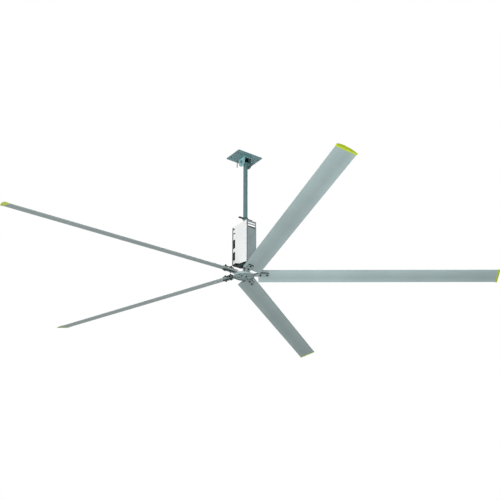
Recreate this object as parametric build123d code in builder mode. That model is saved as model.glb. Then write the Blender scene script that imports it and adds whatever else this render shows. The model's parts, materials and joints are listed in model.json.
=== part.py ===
"""High volume low speed ceiling fan: five pitched blades on a geared hub, under a boxed drive.

Millimetres, +Z up. The origin is the middle of the ceiling plate's top face. The white front
faces -Y, the windowed side faces +X, and one blade points along -Y. Heights of everything below
the stem are given above the rotor plane, which is the plane that the blades turn about.
"""

import os
from collections import namedtuple
from math import acos, cos, pi, radians, sin, sqrt, tan

from build123d import *

os.makedirs("parts", exist_ok=True)

Fastener = namedtuple("Fastener", "diameter width head nut")
Bearing = namedtuple("Bearing", "bottom centre_x outer inner width")

# Whole fan
tip_radius = 3000.0
ceiling_drop = 1578.0
blade_count = 5
blade_pitch = 17.0
first_blade_angle = -90.0
blade_angles = [first_blade_angle + 360.0 / blade_count * n for n in range(blade_count)]
suspension_y = 17.0
fit_gap = 0.1
running_gap = 0.05
ball_gap = 0.3

# Fasteners: thread diameter, width across the flats, height of the head and of the nut
m6 = Fastener(6.0, 10.0, 4.0, 5.0)
m8 = Fastener(8.0, 13.0, 5.3, 6.5)
m12 = Fastener(12.0, 18.0, 7.5, 10.0)
m16 = Fastener(16.0, 24.0, 9.0, 13.0)
m20 = Fastener(20.0, 30.0, 12.5, 18.0)
bolt_hole = 12.4

# Ceiling plate and hanger bracket
plate_x = 270.0
plate_y = 360.0
plate_thickness = 10.0
plate_corner = 8.0
ceiling_hole = 18.0
ceiling_hole_x = 140.0
ceiling_hole_rows = (204.0, 294.0)
bracket_gap = 102.0
bracket_thickness = 10.0
bracket_x = 112.0
bracket_outer = bracket_gap + 2 * bracket_thickness
bracket_screw_x = 70.0
bracket_screw_y = 60.0
bracket_screw_length = 34.0
countersink_gap = 0.3
bracket_bend = 9.0
pivot_depth = 74.0
pivot_hole = 21.0
pivot_thread = 24.0
washer_radius = 18.5
washer_thickness = 3.0
stud_x = -98.0
stud_y = -41.0
stud_length = 96.0
stud_recess = 1.0

# Stem
stem_diameter = 54.0
stem_wall = 4.0
stem_bottom = 572.0
sleeve_diameter = 48.0
sleeve_length = 95.0
bush_diameter = 30.0
bush_length = 30.0
bush_flange_radius = 19.0
bush_flange = 3.0
wire_bar_height = 726.0
wire_bar_length = 200.0
wire_bar_width = 32.0
wire_bar_thickness = 8.0
wire_collar = 9.0
wire_hole = 11.0
wire_hole_spacing = 176.0

# Drive box
box_x = 296.0
box_y = 142.0
box_bottom = 95.0
box_top = 641.0
sheet = 2.0
side_sheet = 3.0
side_flange = 18.0
flange_depth = box_y / 2 - sheet
inner_x = box_x - 2 * side_sheet
frame_y = 124.0
top_plate_bottom = 560.0
bottom_plate_bottom = 112.0
frame_plate = 8.0
frame_flange = 30.0
frame_flange_thickness = 5.0
frame_bolt_spacing = 84.0
step_bottom = 134.0
step_x = -92.0
left_plate_bottom = 140.0
top_bolt_height = 538.0
right_bolt_height = 136.0
left_bolt_height = 160.0
socket_diameter = 68.0
socket_gap = 0.2
socket_top = 632.0
socket_bolt_heights = (588.0, 616.0)
window_y = 106.0
window_middle_y = 4.0
window_spans = ((548.0, 587.0), (602.0, 617.0))
slot_x = -107.0
slot_width = 38.0
slot_corner = 5.0
slot_spans = ((600.0, 632.0), (543.0, 557.0), (351.0, 467.0), (192.0, 304.0))
left_strip = 9.0
left_strip_gap = 0.2
cover_left_bottom = 148.0
cover_level_x = -75.0
cover_bend_x = 10.0
cover_bend = 116.0
rear_cover_bottom = 190.0
rear_cover_top = 568.0
cooling_slots = 6
cooling_slot_bottom = 250.0
cooling_slot_pitch = 16.0
cooling_slot_x = 150.0
cooling_slot_height = 6.0
cover_hole = 5.4
cover_screw_diameter = 5.0
cover_screw_length = 8.0
cover_screw_head = 9.2
cover_screw_head_height = 2.6
front_screws = [(-133.0, height) for height in (170.0, 330.0, 590.0)]
front_screws += [(138.0, height) for height in (120.0, 330.0, 590.0)]
rear_screws = [(x, height) for x in (-138.0, 138.0) for height in (225.0, 520.0)]

# Drive housing and its cable gland
drive_x = 216.0
drive_y = 104.0
drive_bottom = 452.0
drive_wall = 4.0
drive_corner = 8.0
drive_rib = 8.0
drive_rib_thickness = 2.5
drive_rib_pitch = 14.0
drive_ribs = 14
drive_screw_x = 200.0
drive_screw_y = 60.0
drive_screw_length = 24.0
drive_post_diameter = 14.0
drive_post_length = 30.0
standoff_x = 150.0
standoff_y = 70.0
standoff_diameter = 10.0
gland_height = 512.0
gland_bore = 10.0
gland_reach = 26.0
gland_base_width = 24.0
gland_base_height = 6.0
gland_nut_width = 22.0
gland_nut_height = 10.0
gland_body_diameter = 21.0
gland_thread = 15.8
cable_hole = 24.0

# Drive board and what stands on it
board_height = 478.0
board_x = 180.0
board_y = 88.0
board_middle_x = 4.0
board_thickness = 1.6
capacitor_places = ((-20.0, 24.0), (12.0, 24.0), (44.0, 24.0))
capacitor_diameter = 25.0
capacitor_height = 44.0
choke_place = (70.0, 18.0)
choke_diameter = 30.0
choke_bore = 12.0
choke_height = 14.0
spreader_place = (20.0, -24.0)
spreader_x = 110.0
spreader_y = 30.0
terminal_place = (-66.0, -10.0)
terminal_x = 14.0
terminal_y = 50.0
board_block_height = 12.0

# Gear train
pressure_angle = 20.0
gear_offset = 52.5
motor_module = 1.25
motor_pinion_teeth = 17
motor_gear_teeth = 67
output_module = 1.75
output_pinion_teeth = 17
output_gear_teeth = 43
tooth_thinning = 0.12
tooth_clearance = 0.25
output_gear_span = (154.0, 172.0)
output_pinion_span = (152.5, 173.5)
motor_gear_span = (180.0, 194.0)
motor_pinion_span = (178.0, 197.0)

# Gear case
nose_bottom = 92.0
nose_radius = 48.0
case_bottom = 120.0
case_floor = 6.0
case_split = 174.0
case_top = 212.0
case_radius = 52.0
case_wall = 6.0
case_flange_radius = 64.0
case_flange = 8.0
case_lid = 8.0
split_flange = 6.0
bearing_wall = 5.0
case_bolt_x = 134.0
case_bolt_y = 84.0
case_middle_bolt_y = 117.0
motor_square = 124.0
motor_corner = 16.0
motor_screw_spacing = 98.0
motor_screw_length = 20.0
motor_screw_hole_depth = 24.0
motor_spigot = 3.0
motor_shaft_opening = 13.0
seal_height = 7.5
seal_lip = 6.0
seal_web = 2.0
seal_rim = 3.0

# Bearings: bottom height, distance of the axis from the rotor's, outer and inner radius, width
lower_output_bearing = Bearing(100.0, 0.0, 40.0, 20.0, 18.0)
upper_output_bearing = Bearing(136.0, 0.0, 34.0, 20.0, 15.0)
lower_counter_bearing = Bearing(124.0, gear_offset, 20.0, 8.5, 12.0)
upper_counter_bearing = Bearing(196.0, gear_offset, 20.0, 8.5, 12.0)
lower_motor_bearing = Bearing(214.0, 0.0, 23.5, 10.0, 14.0)
upper_motor_bearing = Bearing(378.0, 0.0, 20.0, 8.5, 12.0)
output_bearings = (lower_output_bearing, upper_output_bearing)
counter_bearings = (lower_counter_bearing, upper_counter_bearing)
motor_bearings = (lower_motor_bearing, upper_motor_bearing)
ball_share = 0.28
ball_spacing = 2.5
shoulder_share = 0.62
seat_reach = 60.0

# Motor
motor_flange_top = 224.0
motor_body_top = 384.0
motor_top = 398.0
motor_radius = 58.0
motor_bore = 54.0
fin_tip_radius = 64.0
fin_root_radius = 56.0
fin_thickness = 3.0
fin_margin = 12.0
fin_count = 24
rear_cap_flange = 8.0
rear_cap_radius = 28.0
rear_seat_wall = 6.0
rear_seat_depth = 12.0
front_seat_wall = 6.5
front_seat_height = 6.0
core_bottom = 262.0
core_top = 342.0
stator_bore = 35.0
slot_inner = 40.0
slot_outer = 49.0
stator_slot_width = 8.0
stator_mouth = 3.0
stator_slots = 12
winding_gap = 0.2
end_ring = 16.0
magnet_radius = 34.0
rotor_core_radius = 31.0
magnet_gap = 3.0
magnet_margin = 2.0
pole_count = 8
rotor_shaft_radius = 12.0
pinion_neck_radius = 9.0
counter_gear_seat = 11.0
counter_spacer_radius = 13.0
lightening_radius = 26.0
lightening_hole = 14.0
lightening_holes = 6

# Hub
output_shaft_radius = 20.0
hub_shaft_radius = 18.0
gear_shaft_radius = 19.0
neck_radius = 16.0
shaft_collar = 6.0
shaft_bottom = -1.0
shaft_top = 175.0
shaft_bolt_depth = 40.0
boss_radius = 32.0
boss_top = 30.0
hub_flange_radius = 84.0
hub_flange_thickness = 10.0
spigot_radius = 48.0
arm_bottom = -20.0
arm_thickness = 12.0
arm_top = arm_bottom + arm_thickness
arm_width = 62.0
arm_root = 52.0
arm_flat_end = 123.0
arm_pitched_start = 168.0
arm_tip = 292.0
arm_corner = 14.0
disc_radius = 122.0
disc_thickness = 8.0
disc_rim_depth = 18.0
disc_rim_width = 8.0
disc_screw_radius = 30.0
disc_screw_angle = 80.0
disc_screw_diameter = 6.0
disc_screw_hole = 6.2
disc_screw_cap = 20.0
disc_screw_cap_height = 2.5
disc_screw_head = 13.0
disc_screw_head_height = 6.0
end_washer = 4.0
end_recess_radius = 23.0
hub_bolt_radii = (68.0, 100.0)
hub_bolt_thread = 14.0
blade_bolt_radii = (192.0, 271.0)
blade_bolt_thread = 18.0
key_width = 10.0
key_depth = 8.0
hub_key_span = (2.0, 28.0)

# Blade section, measured along the chord from the radial axis
blade_root = 168.0
cap_length = 24.0
cap_overhang = 3.0
plug_length = 35.0
plug_gap = 0.5
leading_edge = -67.0
trailing_edge = 144.0
crown_place = 7.0
crown = 19.0
nose_end = -48.0
belly = -8.0
trailing_thickness = 2.4
skin = 2.4
web_places = (-22.0, 24.0, 76.0)
web_thickness = 2.4
strap_width = 58.0
strap_thickness = 14.0
strap_root = 172.0


def above_rotor(height):
    """Height above the rotor plane, as a height in the part's own frame."""
    return height - ceiling_drop


def level(height, x=0.0, y=0.0):
    """Horizontal plane at a height above the rotor plane."""
    return Plane(origin=(x, y, above_rotor(height)))


def crosswise(height, x, direction=1):
    """Plane square to X at a height above the rotor plane, with its own x along Y."""
    return Plane(origin=(x, 0, above_rotor(height)), x_dir=(0, 1, 0), z_dir=(direction, 0, 0))


def section_plane(angle, radius, pitch):
    """Plane square to an arm or blade: x to the trailing edge, y up off it, z outwards."""
    along = Vector(cos(radians(angle)), sin(radians(angle)), 0)
    across = Vector(-sin(radians(angle)), cos(radians(angle)), 0)
    chord = across * cos(radians(pitch)) - Vector(0, 0, 1) * sin(radians(pitch))
    return Plane(origin=along * radius + Vector(0, 0, above_rotor(0)), x_dir=chord, z_dir=along)


def face_plane(angle, radius, pitch, lift):
    """Plane lying on an arm or blade at a radius: x outwards, z up off its upper side."""
    section = section_plane(angle, radius, pitch)
    return Plane(origin=section.origin + section.y_dir * lift, x_dir=section.z_dir, z_dir=section.y_dir)


def outwards(angle):
    """Axis along a blade, from the rotor's axis outwards."""
    return Axis((0, 0, 0), (cos(radians(angle)), sin(radians(angle)), 0))


def finish(part, name):
    """Label a finished piece and write it."""
    part.label = name
    export_step(part, f"parts/{name}.step")


def add_rod(plane, radius, length):
    """Round rod standing on the plane."""
    with BuildSketch(plane) as profile:
        Circle(radius)
    extrude(profile.sketch, amount=length)


def add_hexagon(plane, width, height):
    """Hexagon prism standing on the plane, with its width across flats."""
    with BuildSketch(plane) as profile:
        RegularPolygon(width / 2, 6, major_radius=False)
    extrude(profile.sketch, amount=height)


def add_bolt(plane, size, length):
    """Bolt with its hexagon head below the plane and its shank along the plane's z."""
    add_hexagon(plane, size.width, -size.head)
    add_rod(plane, size.diameter / 2, length)


def add_nut(plane, size, side=1):
    """Nut on one side of the plane, clear of the shank that runs through it."""
    with BuildSketch(plane) as profile:
        RegularPolygon(size.width / 2, 6, major_radius=False)
        Circle(size.diameter / 2 + fit_gap, mode=Mode.SUBTRACT)
    extrude(profile.sketch, amount=side * size.nut)


def add_ring(plane, outer, inner, height):
    """Plain ring standing on the plane."""
    with BuildSketch(plane) as profile:
        Circle(outer)
        Circle(inner, mode=Mode.SUBTRACT)
    extrude(profile.sketch, amount=height)


def cut_hole(plane, radius, depth):
    """Round hole through the part, centred on the plane."""
    with Locations(plane):
        Cylinder(radius, depth, mode=Mode.SUBTRACT)


def ball_size(bearing):
    """Pitch radius and ball radius of a bearing."""
    return (bearing.outer + bearing.inner) / 2, (bearing.outer - bearing.inner) * ball_share


def add_outer_race(bearing):
    """Outer ring of a bearing with its ball groove, and the balls that run in it."""
    middle, ball = ball_size(bearing)
    shoulder = middle + ball * shoulder_share
    add_ring(level(bearing.bottom, bearing.centre_x), bearing.outer, shoulder, bearing.width)
    with Locations(level(bearing.bottom + bearing.width / 2, bearing.centre_x)):
        Torus(middle, ball + ball_gap, mode=Mode.SUBTRACT)
        with PolarLocations(middle, int(2 * pi * middle / (ball_spacing * ball))):
            Sphere(ball)


def add_inner_race(bearing):
    """Inner ring of the same bearing, with its ball groove."""
    middle, ball = ball_size(bearing)
    shoulder = middle - ball * shoulder_share
    add_ring(level(bearing.bottom, bearing.centre_x), shoulder, bearing.inner + fit_gap, bearing.width)
    with Locations(level(bearing.bottom + bearing.width / 2, bearing.centre_x)):
        Torus(middle, ball + ball_gap, mode=Mode.SUBTRACT)


def cut_seat(bearing, opening):
    """Seat for a bearing's outer ring, open upwards (1) or downwards (-1)."""
    closed_end = bearing.bottom if opening > 0 else bearing.bottom + bearing.width
    middle = closed_end + opening * seat_reach / 2
    cut_hole(level(middle, bearing.centre_x), bearing.outer + fit_gap, seat_reach)


def gear_outline(module, teeth, turn):
    """Closed spur gear outline with one tooth centred on the turn angle, in degrees."""
    pitch_radius = module * teeth / 2
    base_radius = pitch_radius * cos(radians(pressure_angle))
    outer_radius = pitch_radius + module
    root_radius = pitch_radius - (1 + tooth_clearance) * module
    flank_start = max(base_radius + 0.01, root_radius)
    flank_radii = [flank_start + (outer_radius - flank_start) * n / 4 for n in range(5)]

    def involute(angle):
        return tan(angle) - angle

    def half_angle(radius):
        at_pitch = pi / (2 * teeth) - tooth_thinning / pitch_radius
        return at_pitch + involute(radians(pressure_angle)) - involute(acos(base_radius / radius))

    def point(radius, angle):
        return (radius * cos(angle), radius * sin(angle))

    for tooth in range(teeth):
        middle = radians(turn) + 2 * pi * tooth / teeth
        next_middle = middle + 2 * pi / teeth
        rising = [point(radius, middle - half_angle(radius)) for radius in flank_radii]
        falling = [point(radius, middle + half_angle(radius)) for radius in reversed(flank_radii)]
        root_start = point(root_radius, middle + half_angle(flank_start))
        root_end = point(root_radius, next_middle - half_angle(flank_start))
        Spline(*rising)
        ThreePointArc(rising[-1], point(outer_radius, middle), falling[0])
        Spline(*falling)
        ThreePointArc(root_start, point(root_radius, middle + pi / teeth), root_end)
        if flank_start > root_radius:
            Line(falling[-1], root_start)
            Line(root_end, point(flank_start, next_middle - half_angle(flank_start)))


def rear_drop(place):
    """How far the blade's upper side has dropped from its crown at a place on the chord."""
    share = (place - crown_place) / (trailing_edge - crown_place)
    return (crown - belly - trailing_thickness) * share**2


def upper_side(place):
    """Height of the blade's upper side at a place on the chord."""
    if place > crown_place:
        return crown - rear_drop(place)
    reach = crown_place - leading_edge
    return crown * sqrt(1 - ((crown_place - place) / reach) ** 2)


def blade_outline(inset):
    """Closed blade section, drawn inside the true one by the inset or outside it if negative."""
    top = crown - inset
    bottom = belly + inset
    front = leading_edge + inset
    full_drop = crown - belly - trailing_thickness
    end_share = min(sqrt(max(top - bottom - 1.0, 0) / full_drop), 1 - min(inset, 0) / trailing_edge)
    end = crown_place + (trailing_edge - crown_place) * end_share
    halfway = (crown_place + end) / 2
    end_point = (end, top - rear_drop(end))
    end_slope = -2 * rear_drop(end) / (end - crown_place)
    Line((nose_end, bottom), (end, bottom))
    Line((end, bottom), end_point)
    Spline(
        (crown_place, top), (halfway, top - rear_drop(halfway)), end_point, tangents=((1, 0), (1, end_slope))
    )
    EllipticalCenterArc((crown_place, 0), crown_place - front, top, start_angle=90, arc_size=90)
    EllipticalCenterArc((nose_end, 0), nose_end - front, -bottom, start_angle=180, arc_size=90)


# Ceiling plate: countersunk bracket holes and two rows of paired anchor holes
with BuildPart() as ceiling_plate:
    with BuildSketch(Plane.XY):
        RectangleRounded(plate_x, plate_y, plate_corner)
    extrude(amount=-plate_thickness)
    chamfer(ceiling_plate.faces().sort_by(Axis.Z)[0].edges(), 1)
    for row in ceiling_hole_rows:
        with GridLocations(ceiling_hole_x, row, 2, 2):
            Hole(ceiling_hole / 2)
    with Locations((0, suspension_y, 0)):
        with GridLocations(bracket_screw_x, bracket_screw_y, 2, 2):
            CounterSinkHole(m12.diameter / 2 + fit_gap, m12.diameter + countersink_gap, counter_sink_angle=90)
    with Locations((stud_x, stud_y, 0)):
        Hole(m12.diameter / 2 + fit_gap)
finish(ceiling_plate.part, "ceiling_plate")

# Hanger bracket: a folded U with two round-ended ears
pivot_plane = Plane(origin=(0, suspension_y, -pivot_depth), x_dir=(1, 0, 0), z_dir=(0, 1, 0))
with BuildPart() as hanger_bracket:
    with BuildSketch(Plane.YZ.offset(-bracket_x / 2)):
        with Locations((suspension_y, -plate_thickness)):
            Rectangle(bracket_outer, pivot_depth - plate_thickness, align=(Align.CENTER, Align.MAX))
            Rectangle(
                bracket_gap,
                2 * (pivot_depth - plate_thickness),
                align=(Align.CENTER, Align.CENTER),
                mode=Mode.SUBTRACT,
            )
            Rectangle(bracket_outer, bracket_thickness, align=(Align.CENTER, Align.MAX))
    extrude(amount=bracket_x)
    fillet(hanger_bracket.edges().filter_by(Axis.X).group_by(Axis.Z)[-1], bracket_bend)
    for ear_start in (-bracket_outer / 2, bracket_gap / 2):
        with BuildSketch(pivot_plane.offset(ear_start)):
            Circle(bracket_x / 2)
        extrude(amount=bracket_thickness)
    cut_hole(pivot_plane, pivot_hole / 2, 2 * bracket_outer)
    with Locations((0, suspension_y, -plate_thickness)):
        with GridLocations(bracket_screw_x, bracket_screw_y, 2, 2):
            Cylinder(m12.diameter / 2 + fit_gap, 4 * bracket_thickness, mode=Mode.SUBTRACT)
finish(hanger_bracket.part, "hanger_bracket")

# Countersunk bracket screws, with nuts under the bracket's web
with BuildPart() as bracket_screws:
    for x in (-bracket_screw_x / 2, bracket_screw_x / 2):
        for y in (-bracket_screw_y / 2, bracket_screw_y / 2):
            screw_top = Plane(origin=(x, suspension_y + y, 0))
            cone_end = screw_top.offset(-m12.diameter / 2)
            with BuildSketch(screw_top):
                Circle(m12.diameter)
            with BuildSketch(cone_end):
                Circle(m12.diameter / 2)
            loft()
            add_rod(cone_end, m12.diameter / 2, m12.diameter / 2 - bracket_screw_length)
            add_nut(screw_top.offset(-plate_thickness - bracket_thickness), m12, -1)
finish(bracket_screws.part, "bracket_screws")

# Pivot bolt through the ears, with its washers and nut
with BuildPart() as pivot_bolt:
    near_face = pivot_plane.offset(-bracket_outer / 2 - washer_thickness)
    far_face = pivot_plane.offset(bracket_outer / 2)
    add_bolt(near_face, m20, bracket_outer + 2 * washer_thickness + pivot_thread)
    chamfer(pivot_bolt.faces().sort_by(Axis.Y)[-1].edges(), 1.5)
    washer_bore = m20.diameter / 2 + fit_gap
    add_ring(near_face.offset(fit_gap), washer_radius, washer_bore, washer_thickness - fit_gap)
    add_ring(far_face, washer_radius, washer_bore, washer_thickness)
    add_nut(far_face.offset(washer_thickness + fit_gap), m20)
finish(pivot_bolt.part, "pivot_bolt")

# Threaded stud for the safety cable, hanging from the plate
with BuildPart() as safety_stud:
    stud_start = Plane(origin=(stud_x, stud_y, -stud_recess))
    add_rod(stud_start, m12.diameter / 2, stud_recess - plate_thickness - stud_length)
    chamfer(safety_stud.faces().sort_by(Axis.Z)[0].edges(), 1.5)
    add_nut(Plane(origin=(stud_x, stud_y, -plate_thickness)), m12, -1)
finish(safety_stud.part, "safety_stud")

# Stem: a tube welded under a cross sleeve, with a cross hole for each socket bolt
with BuildPart() as stem:
    stem_end = Plane(origin=(0, suspension_y, above_rotor(stem_bottom)))
    add_rod(stem_end, stem_diameter / 2, -pivot_depth - above_rotor(stem_bottom))
    tube_middle = (above_rotor(stem_bottom) - pivot_depth) / 2
    cut_hole(Plane(origin=(0, suspension_y, tube_middle)), stem_diameter / 2 - stem_wall, ceiling_drop)
    with Locations(pivot_plane):
        Cylinder(sleeve_diameter / 2, sleeve_length)
        Cylinder(bush_diameter / 2 + fit_gap, 2 * sleeve_length, mode=Mode.SUBTRACT)
    for height in socket_bolt_heights:
        with Locations(crosswise(height, 0)):
            with Locations((suspension_y, 0)):
                Cylinder(bolt_hole / 2, 2 * stem_diameter, mode=Mode.SUBTRACT)
finish(stem.part, "stem")

# Flanged plain bushes in the stem's sleeve, running on the pivot bolt
with BuildPart() as pivot_bushes:
    for side in (-1, 1):
        sleeve_end = Plane(
            origin=(0, suspension_y + side * (sleeve_length / 2 + fit_gap), -pivot_depth),
            x_dir=(1, 0, 0),
            z_dir=(0, side, 0),
        )
        bush_bore = m20.diameter / 2 + running_gap
        add_ring(sleeve_end, bush_flange_radius, bush_bore, bush_flange)
        add_ring(sleeve_end, bush_diameter / 2, bush_bore, -bush_length)
finish(pivot_bushes.part, "pivot_bushes")

# Cross bar for the guy wires, round the stem
with BuildPart() as guy_wire_bar:
    with BuildSketch(level(wire_bar_height, 0, suspension_y)):
        SlotOverall(wire_bar_length, wire_bar_width, rotation=90)
        Circle(stem_diameter / 2 + wire_collar)
        Circle(stem_diameter / 2 + fit_gap, mode=Mode.SUBTRACT)
        with GridLocations(0, wire_hole_spacing, 1, 2):
            Circle(wire_hole / 2, mode=Mode.SUBTRACT)
    extrude(amount=wire_bar_thickness)
finish(guy_wire_bar.part, "guy_wire_bar")

# Top plate of the drive frame, with end flanges and the welded stem socket
top_plate_top = top_plate_bottom + frame_plate
with BuildPart() as frame_top_plate:
    with BuildSketch(level(top_plate_bottom)):
        Rectangle(inner_x, frame_y)
    extrude(amount=frame_plate)
    with BuildSketch(level(top_plate_bottom)):
        with GridLocations(inner_x - frame_flange_thickness, 0, 2, 1):
            Rectangle(frame_flange_thickness, frame_y)
    extrude(amount=-frame_flange)
    socket_bore = stem_diameter / 2 + socket_gap
    socket_foot = level(top_plate_top, 0, suspension_y)
    add_ring(socket_foot, socket_diameter / 2, socket_bore, socket_top - top_plate_top)
    for height in socket_bolt_heights:
        with Locations(crosswise(height, 0)):
            with Locations((suspension_y, 0)):
                Cylinder(bolt_hole / 2, 2 * socket_diameter, mode=Mode.SUBTRACT)
    with Locations(crosswise(top_bolt_height, 0)):
        with GridLocations(frame_bolt_spacing, 0, 2, 1):
            Cylinder(m8.diameter / 2 + fit_gap, 2 * box_x, mode=Mode.SUBTRACT)
    with Locations(level(top_plate_bottom)):
        with GridLocations(drive_screw_x, drive_screw_y, 2, 2):
            Cylinder(m6.diameter / 2 + fit_gap, 4 * frame_plate, mode=Mode.SUBTRACT)
finish(frame_top_plate.part, "frame_top_plate")

# Bottom plate of the drive frame: it carries the gear case and steps up towards the left
case_bolts = []
for end in (-1, 1):
    for side in (-1, 1):
        case_bolts.append((gear_offset / 2 + side * case_bolt_x / 2, end * case_bolt_y / 2))
    case_bolts.append((gear_offset / 2, end * case_middle_bolt_y / 2))
plate_side = Plane(origin=(0, frame_y / 2, above_rotor(0)), x_dir=(1, 0, 0), z_dir=(0, -1, 0))
with BuildPart() as frame_bottom_plate:
    with BuildSketch(plate_side):
        with Locations((step_x, bottom_plate_bottom)):
            Rectangle(inner_x / 2 - step_x, frame_plate, align=Align.MIN)
            Rectangle(frame_plate, step_bottom + frame_plate - bottom_plate_bottom, align=Align.MIN)
        with Locations((-inner_x / 2, step_bottom)):
            Rectangle(inner_x / 2 + step_x + frame_plate, frame_plate, align=Align.MIN)
            Rectangle(frame_flange_thickness, frame_flange + frame_plate, align=Align.MIN)
        with Locations((inner_x / 2, bottom_plate_bottom)):
            Rectangle(frame_flange_thickness, frame_flange + frame_plate, align=(Align.MAX, Align.MIN))
    extrude(amount=frame_y)
    cut_hole(level(bottom_plate_bottom), nose_radius + 1, 4 * frame_plate)
    for side, height in ((1, right_bolt_height), (-1, left_bolt_height)):
        with Locations(crosswise(height, side * inner_x / 2)):
            with GridLocations(frame_bolt_spacing, 0, 2, 1):
                Cylinder(m8.diameter / 2 + fit_gap, 4 * frame_flange_thickness, mode=Mode.SUBTRACT)
    with Locations(level(bottom_plate_bottom)):
        with Locations(*case_bolts):
            Cylinder(m6.diameter / 2 + fit_gap, 4 * frame_plate, mode=Mode.SUBTRACT)
finish(frame_bottom_plate.part, "frame_bottom_plate")

# Side plates, folded in at the front and back: the right one has two windows, the left one is shorter
side_plates = (
    (1, "side_plate_right", box_bottom, right_bolt_height),
    (-1, "side_plate_left", left_plate_bottom, left_bolt_height),
)
for side, name, plate_bottom, bottom_bolt_height in side_plates:
    with BuildPart() as side_plate:
        with BuildSketch(level(plate_bottom)):
            with Locations((side * (box_x - side_sheet) / 2, 0)):
                Rectangle(side_sheet, 2 * flange_depth)
            for end in (-1, 1):
                with Locations((side * (box_x - side_flange) / 2, end * (flange_depth - side_sheet / 2))):
                    Rectangle(side_flange, side_sheet)
            if side < 0:
                with Locations((-(box_x - left_strip) / 2, -(box_y - sheet) / 2)):
                    Rectangle(left_strip, sheet)
        extrude(amount=box_top - plate_bottom)
        if side > 0:
            for bottom, top in window_spans:
                with Locations(level((bottom + top) / 2, box_x / 2, window_middle_y)):
                    Box(side_flange, window_y, top - bottom, mode=Mode.SUBTRACT)
        else:
            cut_hole(crosswise(gland_height, -box_x / 2), cable_hole / 2, side_flange)
        for height in (top_bolt_height, bottom_bolt_height):
            with Locations(crosswise(height, side * box_x / 2)):
                with GridLocations(frame_bolt_spacing, 0, 2, 1):
                    Cylinder(m8.diameter / 2 + fit_gap, side_flange, mode=Mode.SUBTRACT)
        for end, screws in ((-1, front_screws), (1, rear_screws)):
            for x, height in screws:
                if x * side > 0:
                    hole_middle = (x, end * flange_depth, above_rotor(height))
                    cut_hole(Plane(origin=hole_middle, z_dir=(0, 1, 0)), cover_hole / 2, side_flange)
    finish(side_plate.part, name)

# Front cover: painted sheet with slots near its left edge, cut away along its lower edge
front_face = Plane(origin=(0, -box_y / 2, above_rotor(0)), x_dir=(1, 0, 0), z_dir=(0, -1, 0))
cover_left = -box_x / 2 + left_strip + left_strip_gap
with BuildPart() as front_cover:
    with BuildSketch(front_face):
        with BuildLine():
            Polyline(
                (cover_left, cover_left_bottom),
                (cover_level_x, cover_left_bottom),
                (cover_bend_x, cover_bend),
                (box_x / 2, box_bottom),
                (box_x / 2, box_top),
                (cover_left, box_top),
                close=True,
            )
        make_face()
        for bottom, top in slot_spans:
            with Locations((slot_x, (bottom + top) / 2)):
                RectangleRounded(slot_width, top - bottom, slot_corner, mode=Mode.SUBTRACT)
        with Locations(*front_screws):
            Circle(cover_hole / 2, mode=Mode.SUBTRACT)
    extrude(amount=-sheet)
finish(front_cover.part, "front_cover")

# Rear cover, raised at its lower edge, with cooling slots behind the motor
rear_face = front_face.offset(-box_y)
with BuildPart() as rear_cover:
    with BuildSketch(rear_face):
        with Locations((0, (rear_cover_bottom + rear_cover_top) / 2)):
            RectangleRounded(box_x, rear_cover_top - rear_cover_bottom, sheet)
        for row in range(cooling_slots):
            with Locations((0, cooling_slot_bottom + cooling_slot_pitch * row)):
                SlotOverall(cooling_slot_x, cooling_slot_height, mode=Mode.SUBTRACT)
        with Locations(*rear_screws):
            Circle(cover_hole / 2, mode=Mode.SUBTRACT)
    extrude(amount=sheet)
finish(rear_cover.part, "rear_cover")

# Bolts that pin the stem in its socket and the side plates to the frame plates
with BuildPart() as frame_bolts:
    for height in socket_bolt_heights:
        socket_side = Plane(
            origin=(-socket_diameter / 2, suspension_y, above_rotor(height)), x_dir=(0, 1, 0), z_dir=(1, 0, 0)
        )
        add_bolt(socket_side, m12, socket_diameter + 16)
        add_nut(socket_side.offset(socket_diameter), m12)
    for side, name, plate_bottom, bottom_bolt_height in side_plates:
        for height in (top_bolt_height, bottom_bolt_height):
            for y in (-frame_bolt_spacing / 2, frame_bolt_spacing / 2):
                bolt_face = (side * box_x / 2, y, above_rotor(height))
                side_face = Plane(origin=bolt_face, x_dir=(0, 1, 0), z_dir=(-side, 0, 0))
                add_bolt(side_face, m8, side_sheet + frame_flange_thickness + 9)
                add_nut(side_face.offset(side_sheet + frame_flange_thickness), m8)
finish(frame_bolts.part, "frame_bolts")

# Small screws of the covers and of the drive housing
with BuildPart() as box_screws:
    for end, screws in ((-1, front_screws), (1, rear_screws)):
        for x, height in screws:
            screw_seat = Plane(origin=(x, end * box_y / 2, above_rotor(height)), z_dir=(0, end, 0))
            add_rod(screw_seat, cover_screw_head / 2, cover_screw_head_height)
            add_rod(screw_seat, cover_screw_diameter / 2, -cover_screw_length)
    for x in (-drive_screw_x / 2, drive_screw_x / 2):
        for y in (-drive_screw_y / 2, drive_screw_y / 2):
            add_bolt(level(top_plate_top, x, y).rotated((180, 0, 0)), m6, drive_screw_length)
finish(box_screws.part, "box_screws")

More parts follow.
